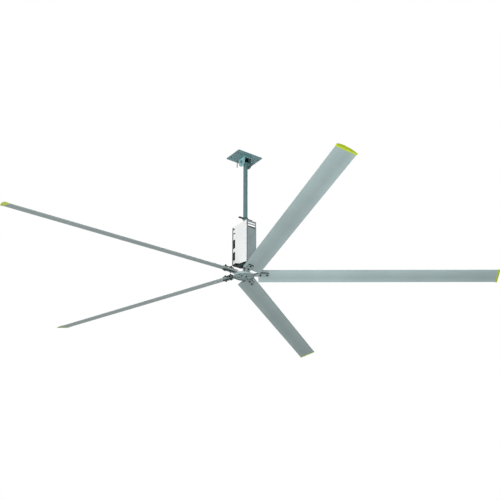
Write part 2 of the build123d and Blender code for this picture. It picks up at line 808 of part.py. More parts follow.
# Drive housing: a finned tray hung under the top plate
drive_height = top_plate_bottom - drive_bottom
with BuildPart() as drive_housing:
    with BuildSketch(level(drive_bottom)):
        RectangleRounded(drive_x, drive_y, drive_corner)
    extrude(amount=drive_height)
    with BuildSketch(level(drive_bottom + drive_wall)):
        RectangleRounded(drive_x - 2 * drive_wall, drive_y - 2 * drive_wall, drive_corner - 3)
    extrude(amount=drive_height, mode=Mode.SUBTRACT)
    with BuildSketch(level(drive_bottom)):
        with GridLocations(drive_rib_pitch, drive_y + drive_rib - 1, drive_ribs, 2):
            Rectangle(drive_rib_thickness, drive_rib + 1)
    extrude(amount=drive_height)
    with BuildSketch(level(drive_bottom + drive_wall)):
        with GridLocations(standoff_x, standoff_y, 2, 2):
            Circle(standoff_diameter / 2)
    extrude(amount=board_height - drive_bottom - drive_wall)
    with BuildSketch(level(top_plate_bottom)):
        with GridLocations(drive_screw_x, drive_screw_y, 2, 2):
            Circle(drive_post_diameter / 2)
    extrude(amount=-drive_post_length)
    with Locations(level(top_plate_bottom)):
        with GridLocations(drive_screw_x, drive_screw_y, 2, 2):
            Cylinder(m6.diameter / 2 + fit_gap, 2 * drive_post_length + 20, mode=Mode.SUBTRACT)
    cut_hole(crosswise(gland_height, -drive_x / 2), gland_thread / 2 + fit_gap, 4 * drive_wall)
finish(drive_housing.part, "drive_housing")

# Drive board with its capacitors, choke, heat spreader and terminal block
with BuildPart() as drive_board:
    with BuildSketch(level(board_height)):
        with Locations((board_middle_x, 0)):
            Rectangle(board_x, board_y)
    extrude(amount=board_thickness)
    board_top = board_height + board_thickness
    with BuildSketch(level(board_top)):
        with Locations(*capacitor_places):
            Circle(capacitor_diameter / 2)
    extrude(amount=capacitor_height)
    with BuildSketch(level(board_top)):
        with Locations(choke_place):
            Circle(choke_diameter / 2)
            Circle(choke_bore / 2, mode=Mode.SUBTRACT)
    extrude(amount=choke_height)
    with BuildSketch(level(board_top)):
        with Locations(spreader_place):
            Rectangle(spreader_x, spreader_y)
        with Locations(terminal_place):
            Rectangle(terminal_x, terminal_y)
    extrude(amount=board_block_height)
finish(drive_board.part, "drive_board")

# Cable gland on the left end of the drive housing
gland_face = crosswise(gland_height, -drive_x / 2, -1)
with BuildPart() as cable_gland:
    add_hexagon(gland_face, gland_base_width, gland_base_height)
    add_rod(gland_face, gland_body_diameter / 2, gland_reach - gland_nut_height)
    add_hexagon(gland_face.offset(gland_reach - gland_nut_height), gland_nut_width, gland_nut_height)
    fillet(cable_gland.faces().sort_by(Axis.X)[0].edges(), 3)
    add_rod(gland_face, gland_thread / 2, -drive_wall - 7)
    add_hexagon(gland_face.offset(-drive_wall), gland_nut_width, -5)
    cut_hole(gland_face, gland_bore / 2, 4 * gland_reach)
finish(cable_gland.part, "cable_gland")

# Lower gear case: nose with the output bearing, floor with the two other lower bearings
with BuildPart() as gearcase_lower:
    add_rod(level(nose_bottom), nose_radius, case_bottom - nose_bottom)
    with BuildSketch(level(case_bottom, gear_offset / 2)):
        SlotCenterToCenter(gear_offset, 2 * case_flange_radius)
    extrude(amount=case_flange)
    with BuildSketch(level(case_bottom, gear_offset / 2)):
        SlotCenterToCenter(gear_offset, 2 * case_radius)
    extrude(amount=case_split - case_bottom)
    with BuildSketch(level(case_split, gear_offset / 2)):
        SlotCenterToCenter(gear_offset, 2 * case_flange_radius)
    extrude(amount=-split_flange)
    with BuildSketch(level(case_bottom + case_floor, gear_offset / 2)):
        SlotCenterToCenter(gear_offset, 2 * (case_radius - case_wall))
    extrude(amount=case_split - case_bottom, mode=Mode.SUBTRACT)
    for bearing in (upper_output_bearing, lower_counter_bearing):
        seat_height = bearing.bottom + bearing.width - case_bottom
        add_rod(level(case_bottom, bearing.centre_x), bearing.outer + bearing_wall, seat_height)
    for bearing in (upper_output_bearing, lower_counter_bearing):
        cut_seat(bearing, 1)
    cut_hole(level(case_bottom), output_shaft_radius + 2, case_split)
    cut_seat(lower_output_bearing, -1)
    with Locations(level(case_bottom)):
        with Locations(*case_bolts):
            Cylinder(m6.diameter / 2 + fit_gap, 2 * case_split, mode=Mode.SUBTRACT)
finish(gearcase_lower.part, "gearcase_lower")

# Upper gear case, with the upper countershaft bearing and the motor's seat
with BuildPart() as gearcase_upper:
    with BuildSketch(level(case_split, gear_offset / 2)):
        SlotCenterToCenter(gear_offset, 2 * case_flange_radius)
    extrude(amount=split_flange)
    with BuildSketch(level(case_split, gear_offset / 2)):
        SlotCenterToCenter(gear_offset, 2 * case_radius)
    extrude(amount=case_top - case_split)
    with BuildSketch(level(case_top)):
        RectangleRounded(motor_square, motor_square, motor_corner)
    extrude(amount=-case_lid)
    with BuildSketch(level(case_split, gear_offset / 2)):
        SlotCenterToCenter(gear_offset, 2 * (case_radius - case_wall))
    extrude(amount=case_top - case_split - case_lid, mode=Mode.SUBTRACT)
    seat_start = level(upper_counter_bearing.bottom, gear_offset)
    add_rod(seat_start, upper_counter_bearing.outer + bearing_wall, case_top - upper_counter_bearing.bottom)
    cut_seat(upper_counter_bearing, -1)
    cut_hole(level(case_top), motor_shaft_opening + 2, 4 * case_lid)
    with Locations(level(case_split)):
        with Locations(*case_bolts):
            Cylinder(m6.diameter / 2 + fit_gap, 4 * case_lid, mode=Mode.SUBTRACT)
    with Locations(level(case_top)):
        with GridLocations(motor_screw_spacing, motor_screw_spacing, 2, 2):
            Cylinder(m8.diameter / 2 + fit_gap, motor_screw_hole_depth, mode=Mode.SUBTRACT)
finish(gearcase_upper.part, "gearcase_upper")

# Bolts of the gear case's foot, split and motor flange
with BuildPart() as gearmotor_bolts:
    for x, y in case_bolts:
        add_bolt(level(bottom_plate_bottom, x, y), m6, frame_plate + case_flange + 8)
        add_nut(level(case_bottom + case_flange, x, y), m6)
        add_bolt(level(case_split + split_flange, x, y).rotated((180, 0, 0)), m6, 2 * split_flange + 8)
        add_nut(level(case_split - split_flange, x, y), m6, -1)
    for x in (-motor_screw_spacing / 2, motor_screw_spacing / 2):
        for y in (-motor_screw_spacing / 2, motor_screw_spacing / 2):
            add_bolt(level(motor_flange_top, x, y).rotated((180, 0, 0)), m8, motor_screw_length)
finish(gearmotor_bolts.part, "gearmotor_bolts")

# Lip seal under the lower output bearing
with BuildPart() as oil_seal:
    with BuildSketch(Plane.XZ):
        with Locations((0, above_rotor(nose_bottom))):
            with Locations((output_shaft_radius + running_gap, 0)):
                Rectangle(seal_lip, seal_height, align=(Align.MIN, Align.MIN))
            with Locations((output_shaft_radius + seal_lip, 0)):
                web_length = lower_output_bearing.outer - output_shaft_radius - seal_lip
                Rectangle(web_length, seal_web, align=(Align.MIN, Align.MIN))
            with Locations((lower_output_bearing.outer, 0)):
                Rectangle(seal_rim, seal_height, align=(Align.MAX, Align.MIN))
    revolve(axis=Axis.Z)
finish(oil_seal.part, "oil_seal")

# Fixed rings and balls of all six bearings
with BuildPart() as bearing_outer_rings:
    for bearing in output_bearings + counter_bearings + motor_bearings:
        add_outer_race(bearing)
finish(bearing_outer_rings.part, "bearing_outer_rings")

# Motor flange with the lower motor bearing's seat
with BuildPart() as motor_flange:
    with BuildSketch(level(case_top)):
        RectangleRounded(motor_square, motor_square, motor_corner)
    extrude(amount=motor_flange_top - case_top)
    add_rod(level(motor_flange_top), motor_bore - fit_gap, motor_spigot)
    add_rod(level(motor_flange_top), lower_motor_bearing.outer + front_seat_wall, front_seat_height)
    cut_hole(level(case_top), motor_shaft_opening, seat_reach)
    cut_seat(lower_motor_bearing, 1)
    with Locations(level(case_top)):
        with GridLocations(motor_screw_spacing, motor_screw_spacing, 2, 2):
            Cylinder(m8.diameter / 2 + fit_gap, seat_reach, mode=Mode.SUBTRACT)
finish(motor_flange.part, "motor_flange")

# Finned motor housing
with BuildPart() as motor_housing:
    add_ring(level(motor_flange_top), motor_radius, motor_bore, motor_body_top - motor_flange_top)
    fin_depth = fin_tip_radius - fin_root_radius
    with Locations(level((motor_flange_top + motor_body_top) / 2)):
        with PolarLocations(fin_tip_radius - fin_depth / 2, fin_count):
            Box(fin_depth, fin_thickness, motor_body_top - motor_flange_top - 2 * fin_margin)
finish(motor_housing.part, "motor_housing")

# Motor rear cap with the upper motor bearing's seat
with BuildPart() as motor_rear_cap:
    add_rod(level(motor_body_top), motor_radius, rear_cap_flange)
    add_rod(level(motor_body_top), rear_cap_radius, motor_top - motor_body_top)
    add_rod(level(motor_body_top), upper_motor_bearing.outer + rear_seat_wall, -rear_seat_depth)
    add_rod(level(motor_body_top), motor_bore - fit_gap, -motor_spigot)
    cut_seat(upper_motor_bearing, -1)
    rear_seat_end = level(upper_motor_bearing.bottom + upper_motor_bearing.width)
    cut_hole(rear_seat_end, upper_motor_bearing.inner + 1.5, 8)
finish(motor_rear_cap.part, "motor_rear_cap")

# Stator core with its winding slots
core_height = core_top - core_bottom
slot_middle = (slot_inner + slot_outer) / 2
slot_depth = slot_outer - slot_inner
with BuildPart() as stator_core:
    with BuildSketch(level(core_bottom)):
        Circle(motor_bore - fit_gap)
        Circle(stator_bore, mode=Mode.SUBTRACT)
        with PolarLocations(slot_middle, stator_slots):
            Rectangle(slot_depth, stator_slot_width, mode=Mode.SUBTRACT)
        with PolarLocations((stator_bore + slot_inner) / 2, stator_slots):
            Rectangle(slot_inner - stator_bore + 2, stator_mouth, mode=Mode.SUBTRACT)
    extrude(amount=core_height)
finish(stator_core.part, "stator_core")

# Windings: a bar in every slot and a rounded end ring above and below the core
with BuildPart() as stator_windings:
    add_ring(level(core_bottom - fit_gap), slot_outer, slot_inner, -end_ring)
    add_ring(level(core_top + fit_gap), slot_outer, slot_inner, end_ring)
    ring_edges = stator_windings.edges().filter_by(GeomType.CIRCLE).group_by(Axis.Z)
    fillet(ring_edges[0] + ring_edges[-1], 3)
    with BuildSketch(level(core_bottom - 4)):
        with PolarLocations(slot_middle, stator_slots):
            Rectangle(slot_depth - 2 * winding_gap, stator_slot_width - 2 * winding_gap)
    extrude(amount=core_height + 8)
finish(stator_windings.part, "stator_windings")

# Hub screws: the shaft's end bolt with its washer, and two screws of the hub disc
disc_bottom = arm_bottom - disc_thickness
disc_screw_places = []
for turn in (0, 180):
    screw_angle = radians(disc_screw_angle + turn)
    disc_screw_places.append((disc_screw_radius * cos(screw_angle), disc_screw_radius * sin(screw_angle)))
with BuildPart() as hub_screws:
    add_ring(level(shaft_bottom - 1.2), end_recess_radius - 1, m16.diameter / 2 + fit_gap, -end_washer)
    add_bolt(level(shaft_bottom - 1.3 - end_washer), m16, shaft_bolt_depth)
    for x, y in disc_screw_places:
        screw_cap_bottom = level(disc_bottom - disc_screw_cap_height, x, y)
        add_rod(level(disc_bottom, x, y), disc_screw_cap / 2, -disc_screw_cap_height)
        add_rod(screw_cap_bottom, disc_screw_head / 2, -disc_screw_head_height)
        add_rod(level(disc_bottom, x, y), disc_screw_diameter / 2, disc_thickness + 10)
finish(hub_screws.part, "hub_screws")

# Output shaft, stepped for the hub, the two bearings and the gear
key_inner = hub_shaft_radius - 0.6 * key_depth
gear_key_inner = gear_shaft_radius - 0.6 * key_depth
gear_key_span = (output_gear_span[0] + 1, output_gear_span[1] - 1)
gear_seat_bottom = output_gear_span[0] - 1
journal_bottom = nose_bottom - shaft_collar
with BuildPart() as output_shaft:
    add_rod(level(shaft_bottom), hub_shaft_radius, boss_top - shaft_bottom)
    add_rod(level(boss_top), output_shaft_radius, shaft_collar)
    add_rod(level(boss_top), neck_radius, nose_bottom - boss_top)
    add_rod(level(journal_bottom), output_shaft_radius, gear_seat_bottom - journal_bottom)
    add_rod(level(gear_seat_bottom), gear_shaft_radius, shaft_top - gear_seat_bottom)
    chamfer(output_shaft.faces().sort_by(Axis.Z)[-1].edges(), 1)
    cut_hole(level(shaft_bottom), m16.diameter / 2 + fit_gap, 2 * shaft_bolt_depth)
    for inner, span in ((key_inner, hub_key_span), (gear_key_inner, gear_key_span)):
        with Locations(level((span[0] + span[1]) / 2, inner + key_depth / 2 - running_gap)):
            Box(key_depth, key_width + fit_gap, span[1] - span[0] + fit_gap, mode=Mode.SUBTRACT)
finish(output_shaft.part, "output_shaft")

# Keys of the hub and of the output gear
with BuildPart() as shaft_keys:
    for inner, span in ((key_inner, hub_key_span), (gear_key_inner, gear_key_span)):
        with Locations(level((span[0] + span[1]) / 2, inner + key_depth / 2)):
            Box(key_depth, key_width, span[1] - span[0])
finish(shaft_keys.part, "shaft_keys")

# Output gear, keyed to the shaft
with BuildPart() as output_gear:
    with BuildSketch(level(output_gear_span[0])):
        with BuildLine():
            gear_outline(output_module, output_gear_teeth, 0)
        make_face()
        Circle(gear_shaft_radius + fit_gap, mode=Mode.SUBTRACT)
        with Locations((gear_key_inner + key_depth / 2, 0)):
            Rectangle(key_depth + 2 * fit_gap, key_width + fit_gap, mode=Mode.SUBTRACT)
    extrude(amount=output_gear_span[1] - output_gear_span[0])
finish(output_gear.part, "output_gear")

# Rotating rings of the output bearings
with BuildPart() as output_bearing_rings:
    for bearing in output_bearings:
        add_inner_race(bearing)
finish(output_bearing_rings.part, "output_bearing_rings")

# Hub flange: a keyed boss, the clamp flange over the arms and the spigot between them
with BuildPart() as hub_flange:
    add_rod(level(arm_top), boss_radius, boss_top - arm_top)
    chamfer(hub_flange.faces().sort_by(Axis.Z)[-1].edges(), 1.5)
    add_rod(level(arm_top), hub_flange_radius, hub_flange_thickness)
    add_rod(level(arm_bottom), spigot_radius, arm_thickness)
    cut_hole(level(0), hub_shaft_radius + fit_gap, 4 * boss_top)
    cut_hole(level(arm_bottom), end_recess_radius, 2 * (shaft_bottom - 1 - arm_bottom))
    keyway_bottom = level(hub_key_span[0] - fit_gap, key_inner + key_depth / 2)
    with Locations(keyway_bottom):
        keyway_depth = key_depth + 2 * fit_gap
        Box(
            keyway_depth,
            key_width + fit_gap,
            boss_top,
            align=(Align.CENTER, Align.CENTER, Align.MIN),
            mode=Mode.SUBTRACT,
        )
    for x, y in disc_screw_places:
        cut_hole(level(arm_bottom, x, y), disc_screw_hole / 2, 2 * arm_thickness)
    with Locations(level(arm_top)):
        with PolarLocations(hub_bolt_radii[0], blade_count, start_angle=first_blade_angle):
            Cylinder(bolt_hole / 2, 60, mode=Mode.SUBTRACT)
finish(hub_flange.part, "hub_flange")

# Hub disc: a dished plate under the arms
with BuildPart() as hub_disc:
    add_rod(level(arm_bottom), disc_radius, -disc_thickness)
    add_ring(level(arm_bottom), disc_radius, disc_radius - disc_rim_width, -disc_rim_depth)
    lower_edges = hub_disc.edges().filter_by(GeomType.CIRCLE).group_by(Axis.Z)[0]
    fillet(lower_edges, 2.5)
    with Locations(level(arm_bottom)):
        for radius in hub_bolt_radii:
            with PolarLocations(radius, blade_count, start_angle=first_blade_angle):
                Cylinder(bolt_hole / 2, 60, mode=Mode.SUBTRACT)
        with PolarLocations(disc_screw_radius, 2, start_angle=disc_screw_angle):
            Cylinder(disc_screw_hole / 2, 60, mode=Mode.SUBTRACT)
finish(hub_disc.part, "hub_disc")

# Hub bolts: the inner ring clamps disc, arms and flange, the outer ring disc and arms
with BuildPart() as hub_bolts:
    for angle in blade_angles:
        for radius, clamp_top in zip(hub_bolt_radii, (arm_top + hub_flange_thickness, arm_top)):
            x, y = radius * cos(radians(angle)), radius * sin(radians(angle))
            add_bolt(level(disc_bottom, x, y), m12, clamp_top - disc_bottom + hub_bolt_thread)
            add_nut(level(clamp_top, x, y), m12)
finish(hub_bolts.part, "hub_bolts")

# Blade arms: flat at the hub, twisted to the blade's pitch, with a round-cornered outer end
arm_middle = (0, arm_bottom + arm_thickness / 2)
for number, angle in enumerate(blade_angles, start=1):
    with BuildPart() as blade_arm:
        with BuildSketch(section_plane(angle, arm_root, 0)):
            with Locations(arm_middle):
                Rectangle(arm_width, arm_thickness)
        extrude(amount=arm_flat_end - arm_root)
        for share in (0.0, 0.5, 1.0):
            twist_radius = arm_flat_end + share * (arm_pitched_start - arm_flat_end)
            with BuildSketch(section_plane(angle, twist_radius, share * blade_pitch)):
                with Locations(arm_middle):
                    Rectangle(arm_width, arm_thickness)
        loft()
        with BuildSketch(face_plane(angle, arm_pitched_start, blade_pitch, arm_bottom)) as arm_end:
            Rectangle(arm_tip - arm_pitched_start, arm_width, align=(Align.MIN, Align.CENTER))
            fillet(arm_end.vertices().sort_by(outwards(angle))[-2:], arm_corner)
        extrude(amount=arm_thickness)
        for radius in hub_bolt_radii:
            cut_hole(face_plane(angle, radius, 0, arm_bottom), bolt_hole / 2, 60)
        for radius in blade_bolt_radii:
            cut_hole(face_plane(angle, radius, blade_pitch, arm_bottom), bolt_hole / 2, 60)
    finish(blade_arm.part, f"blade_arm_{number}")

# Blades: hollow pitched extrusions with three webs
for number, angle in enumerate(blade_angles, start=1):
    with BuildPart() as blade:
        with BuildSketch(section_plane(angle, blade_root, blade_pitch)):
            with BuildLine():
                blade_outline(0)
            make_face()
            with BuildLine():
                blade_outline(skin)
            make_face(mode=Mode.SUBTRACT)
            for place in web_places:
                web_height = upper_side(place) - belly - skin / 2
                with Locations((place, belly + skin / 4)):
                    Rectangle(web_thickness, web_height, align=(Align.CENTER, Align.MIN))
        extrude(amount=tip_radius - cap_length - blade_root)
        for radius in blade_bolt_radii:
            cut_hole(face_plane(angle, radius, blade_pitch, 0), bolt_hole / 2, 80)
    finish(blade.part, f"blade_{number}")

# End caps: a lip over the blade's end and a plug in each of its cells
for number, angle in enumerate(blade_angles, start=1):
    with BuildPart() as tip_cap:
        with BuildSketch(section_plane(angle, tip_radius - cap_length, blade_pitch)):
            with BuildLine():
                blade_outline(-cap_overhang)
            make_face()
        extrude(amount=cap_length)
        chamfer(tip_cap.faces().sort_by(outwards(angle))[-1].edges(), 1.5)
        with BuildSketch(section_plane(angle, tip_radius - cap_length, blade_pitch)):
            with BuildLine():
                blade_outline(skin + plug_gap)
            make_face()
            for place in web_places:
                with Locations((place, 0)):
                    Rectangle(web_thickness + 2 * plug_gap, 2 * crown, mode=Mode.SUBTRACT)
        extrude(amount=-plug_length)
    finish(tip_cap.part, f"tip_cap_{number}")

# Clamp straps over the blade roots
with BuildPart() as blade_clamp_straps:
    for angle in blade_angles:
        with BuildSketch(face_plane(angle, strap_root, blade_pitch, crown)):
            Rectangle(arm_tip - strap_root, strap_width, align=(Align.MIN, Align.CENTER))
        extrude(amount=strap_thickness)
        for radius in blade_bolt_radii:
            cut_hole(face_plane(angle, radius, blade_pitch, crown), bolt_hole / 2, 60)
finish(blade_clamp_straps.part, "blade_clamp_straps")

# Bolts through arm, blade and strap
with BuildPart() as blade_bolts:
    strap_top = crown + strap_thickness
    for angle in blade_angles:
        for radius in blade_bolt_radii:
            arm_side = face_plane(angle, radius, blade_pitch, arm_bottom)
            add_bolt(arm_side, m12, strap_top - arm_bottom + blade_bolt_thread)
            add_nut(face_plane(angle, radius, blade_pitch, strap_top), m12)
finish(blade_bolts.part, "blade_bolts")

# Countershaft with its integral pinion
with BuildPart() as countershaft:
    lower_end = lower_counter_bearing.bottom + 0.5
    upper_end = upper_counter_bearing.bottom + upper_counter_bearing.width - 0.5
    shoulder = lower_counter_bearing.bottom + lower_counter_bearing.width + 0.5
    add_rod(level(lower_end, gear_offset), lower_counter_bearing.inner, upper_end - lower_end)
    add_rod(level(shoulder, gear_offset), counter_gear_seat, output_pinion_span[0] - shoulder)
    with BuildSketch(level(output_pinion_span[0], gear_offset)):
        with BuildLine():
            gear_outline(output_module, output_pinion_teeth, 180 + 180 / output_pinion_teeth)
        make_face()
    extrude(amount=output_pinion_span[1] - output_pinion_span[0])
    spacer_height = motor_gear_span[0] - output_pinion_span[1]
    add_rod(level(output_pinion_span[1], gear_offset), counter_spacer_radius, spacer_height)
    seat_length = motor_gear_span[1] - motor_gear_span[0] + 0.5
    add_rod(level(motor_gear_span[0], gear_offset), counter_gear_seat, seat_length)
finish(countershaft.part, "countershaft")

# Countershaft gear, lightened between rim and hub
with BuildPart() as countershaft_gear:
    with BuildSketch(level(motor_gear_span[0], gear_offset)):
        with BuildLine():
            gear_outline(motor_module, motor_gear_teeth, 180)
        make_face()
        Circle(counter_gear_seat + fit_gap, mode=Mode.SUBTRACT)
        with PolarLocations(lightening_radius, lightening_holes):
            Circle(lightening_hole / 2, mode=Mode.SUBTRACT)
    extrude(amount=motor_gear_span[1] - motor_gear_span[0])
finish(countershaft_gear.part, "countershaft_gear")

# Rotating rings of the countershaft bearings
with BuildPart() as countershaft_bearing_rings:
    for bearing in counter_bearings:
        add_inner_race(bearing)
finish(countershaft_bearing_rings.part, "countershaft_bearing_rings")

# Motor shaft with its integral pinion
with BuildPart() as motor_shaft:
    with BuildSketch(level(motor_pinion_span[0])):
        with BuildLine():
            gear_outline(motor_module, motor_pinion_teeth, 180 / motor_pinion_teeth)
        make_face()
    extrude(amount=motor_pinion_span[1] - motor_pinion_span[0])
    neck_length = lower_motor_bearing.bottom - motor_pinion_span[1]
    add_rod(level(motor_pinion_span[1]), pinion_neck_radius, neck_length)
    add_rod(level(lower_motor_bearing.bottom), lower_motor_bearing.inner, lower_motor_bearing.width + 0.5)
    core_seat_bottom = lower_motor_bearing.bottom + lower_motor_bearing.width + 0.5
    core_seat_top = upper_motor_bearing.bottom - 0.5
    add_rod(level(core_seat_bottom), rotor_shaft_radius, core_seat_top - core_seat_bottom)
    add_rod(level(core_seat_top), upper_motor_bearing.inner, upper_motor_bearing.width + 2)
finish(motor_shaft.part, "motor_shaft")

# Rotor core with its magnets
with BuildPart() as rotor_core:
    add_ring(level(core_bottom), rotor_core_radius, rotor_shaft_radius + fit_gap, core_height)
    magnet_foot = level(core_bottom + magnet_margin)
    add_ring(magnet_foot, magnet_radius, rotor_core_radius - 1, core_height - 2 * magnet_margin)
    with Locations(level((core_bottom + core_top) / 2)):
        with PolarLocations(magnet_radius, pole_count):
            Box(2 * (magnet_radius - rotor_core_radius), magnet_gap, core_height, mode=Mode.SUBTRACT)
finish(rotor_core.part, "rotor_core")

# Rotating rings of the motor bearings
with BuildPart() as motor_bearing_rings:
    for bearing in motor_bearings:
        add_inner_race(bearing)
finish(motor_bearing_rings.part, "motor_bearing_rings")
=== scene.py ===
"""Large ceiling fan, finished for a studio picture around its solids.

Metres, +Z up. The origin is the middle of the ceiling plate's top face. The white front faces -Y,
the windowed side faces +X, and the first blade points along -Y.
"""

import json
from collections import namedtuple
from math import cos, radians, sin

import bmesh
import bpy
from bpy.props import FloatProperty, FloatVectorProperty, PointerProperty
from bpy.types import Operator, Panel, PropertyGroup
from mathutils import Color, Euler, Matrix, Vector

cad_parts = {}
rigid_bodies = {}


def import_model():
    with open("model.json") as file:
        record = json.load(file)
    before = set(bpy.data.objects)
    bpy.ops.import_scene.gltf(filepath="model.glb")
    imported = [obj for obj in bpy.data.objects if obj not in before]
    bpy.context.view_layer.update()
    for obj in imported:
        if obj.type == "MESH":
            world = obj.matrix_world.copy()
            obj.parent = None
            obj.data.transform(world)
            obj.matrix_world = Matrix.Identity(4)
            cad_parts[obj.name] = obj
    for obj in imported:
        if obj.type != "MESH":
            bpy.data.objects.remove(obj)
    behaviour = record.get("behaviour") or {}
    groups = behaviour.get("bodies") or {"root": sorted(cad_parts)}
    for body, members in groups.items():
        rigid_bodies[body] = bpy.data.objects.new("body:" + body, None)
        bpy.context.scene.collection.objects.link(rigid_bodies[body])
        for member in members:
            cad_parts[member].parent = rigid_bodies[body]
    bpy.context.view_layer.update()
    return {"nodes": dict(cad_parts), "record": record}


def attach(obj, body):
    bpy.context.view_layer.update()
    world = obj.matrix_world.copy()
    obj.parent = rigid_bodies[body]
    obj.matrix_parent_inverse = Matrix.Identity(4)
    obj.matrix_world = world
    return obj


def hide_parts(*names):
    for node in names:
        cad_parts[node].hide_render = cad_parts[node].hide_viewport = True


bl_info = {
    "name": "Large ceiling fan",
    "version": (1, 0, 0),
    "blender": (4, 5, 0),
    "location": "3D View > Sidebar > Ceiling Fan",
    "description": "Finishes the pieces of a large five-bladed ceiling fan and sets up its studio",
    "category": "Object",
}

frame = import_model()
frame_slots = {entry["node"]: entry["material_slot"] for entry in frame["record"]["subparts"]}
mm = 0.001

# Materials by the slot or the use that they are for, filled when the solids are painted
finishes = {}

Fastener = namedtuple("Fastener", "diameter width head nut washer washer_height pitch")

# Bolts: thread diameter, width across flats, heights of head and nut, radius and height of the
# washer, and pitch
m6 = Fastener(6 * mm, 10 * mm, 4 * mm, 5 * mm, 6 * mm, 1.2 * mm, 1 * mm)
m8 = Fastener(8 * mm, 13 * mm, 5.3 * mm, 6.5 * mm, 8 * mm, 1.5 * mm, 1.25 * mm)
m12 = Fastener(12 * mm, 18 * mm, 7.5 * mm, 10 * mm, 12 * mm, 2.5 * mm, 1.75 * mm)
m16 = Fastener(16 * mm, 24 * mm, 9 * mm, 13 * mm, 22 * mm, 4 * mm, 2 * mm)
m20 = Fastener(20 * mm, 30 * mm, 12.5 * mm, 18 * mm, 18.5 * mm, 3 * mm, 2.5 * mm)

# Depth of a thread as a share of its diameter, and the gap that keeps faces out of one plane
thread_depth = 0.06
tiny_gap = 0.1 * mm

# Rotor: the height of the plane that the blades turn about, and a painted light level for each
# blade's metal, lighter or darker as light falls on it
rotor_plane = -1578 * mm
blade_count = 5
first_blade_angle = -90.0
blade_angles = [first_blade_angle + 360.0 / blade_count * n for n in range(blade_count)]
blade_pitch = 17.0
blade_edges = (-67 * mm, 144 * mm)
blade_light_levels = (0.92, 0.99, 1.06, 0.97, 0.92)

# Hanger, with heights from the ceiling, and screws and holes out from the middle of their group
stem_y = 17 * mm
pivot_height = -74 * mm
plate_underside = -10 * mm
bracket_screws_at = (35 * mm, 30 * mm)
anchor_holes_at = (70 * mm, (102 * mm, 147 * mm))
anchor_hole_radius = 9 * mm
ear_face = 61 * mm
stud_at = (-98 * mm, -41 * mm)
stud_reach = 96 * mm

# Stem and drive box, with heights above the rotor plane
stem_radius = 27 * mm
bar_weld_height = 734 * mm
socket_radius = 34 * mm
socket_foot = 568 * mm
socket_bolts_at = (588 * mm, 616 * mm)
box_side = 148 * mm
box_face = 71 * mm
box_span = (95 * mm, 641 * mm)
window_foot = 540 * mm
side_bolts = ((1, 538 * mm), (1, 136 * mm), (-1, 538 * mm), (-1, 160 * mm))
side_bolt_y = 42 * mm
side_grip = 8 * mm
front_band_edge = -126.5 * mm
front_slot_edge = -85 * mm
drive_bolts_at = (100 * mm, 30 * mm)
gland_at = (-108 * mm, 0, rotor_plane + 512 * mm)

# Places of the cover screws and case bolts in millimetres, and heights that bolt heads bear on
front_screws = [(-133, height) for height in (170, 330, 590)]
front_screws += [(138, height) for height in (120, 330, 590)]
rear_screws = [(x, height) for x in (-138, 138) for height in (225, 520)]
case_bolts_at = [(26.25 + side * 67, end * 42) for side in (-1, 1) for end in (-1, 1)]
case_bolts_at += [(26.25, end * 58.5) for end in (-1, 1)]
foot_bolt_seat = 112 * mm
split_bolt_seat = 180 * mm
motor_bolts_at = 49 * mm
motor_bolt_seat = 224 * mm

# Hub and blade roots, with heights above the rotor plane or above a blade's own plane. A ring of
# hub bolts has a radius and a grip, and the disc's screws have a radius and their turns.
disc_underside = -28 * mm
disc_rim = 113.5 * mm
hub_bolt_rings = ((68 * mm, 30 * mm), (100 * mm, 20 * mm))
disc_screws_at = (30 * mm, (80, 260))
shaft_end = -6.3 * mm
arm_underside = -20 * mm
blade_bolts_at = (192 * mm, 271 * mm)
blade_grip = 53 * mm

# Dark strip on the front edge of the right side plate, a painted shadow of the gap at the corner
corner_strip_thickness = 1.2 * mm
corner_strip_width = 9 * mm
corner_strip_margin = 3 * mm
corner_strip_inset = 6.5 * mm

# Clean-up of the solids' meshes, in metres and degrees, and the ripples round a weld bead
merge_distance = 0.01 * mm
flat_angle = 0.5
weld_ripples = 40

# Studio
floor_size = 400.0
Lamp = namedtuple("Lamp", "name place turn size power")


def colour_property(name, description, default):
    """Colour that a user may change, written as it shows on a screen."""
    return FloatVectorProperty(
        name=name, description=description, subtype="COLOR_GAMMA", size=3, min=0, max=1,
        default=default,
    )


def length_property(name, description, default):
    """Length that a user may change, in metres."""
    return FloatProperty(
        name=name, description=description, default=default, min=0, unit="LENGTH", precision=4
    )


def power_property(name, description, default):
    """Power of a lamp that a user may change, in watts."""
    return FloatProperty(name=name, description=description, default=default, min=0, unit="POWER")


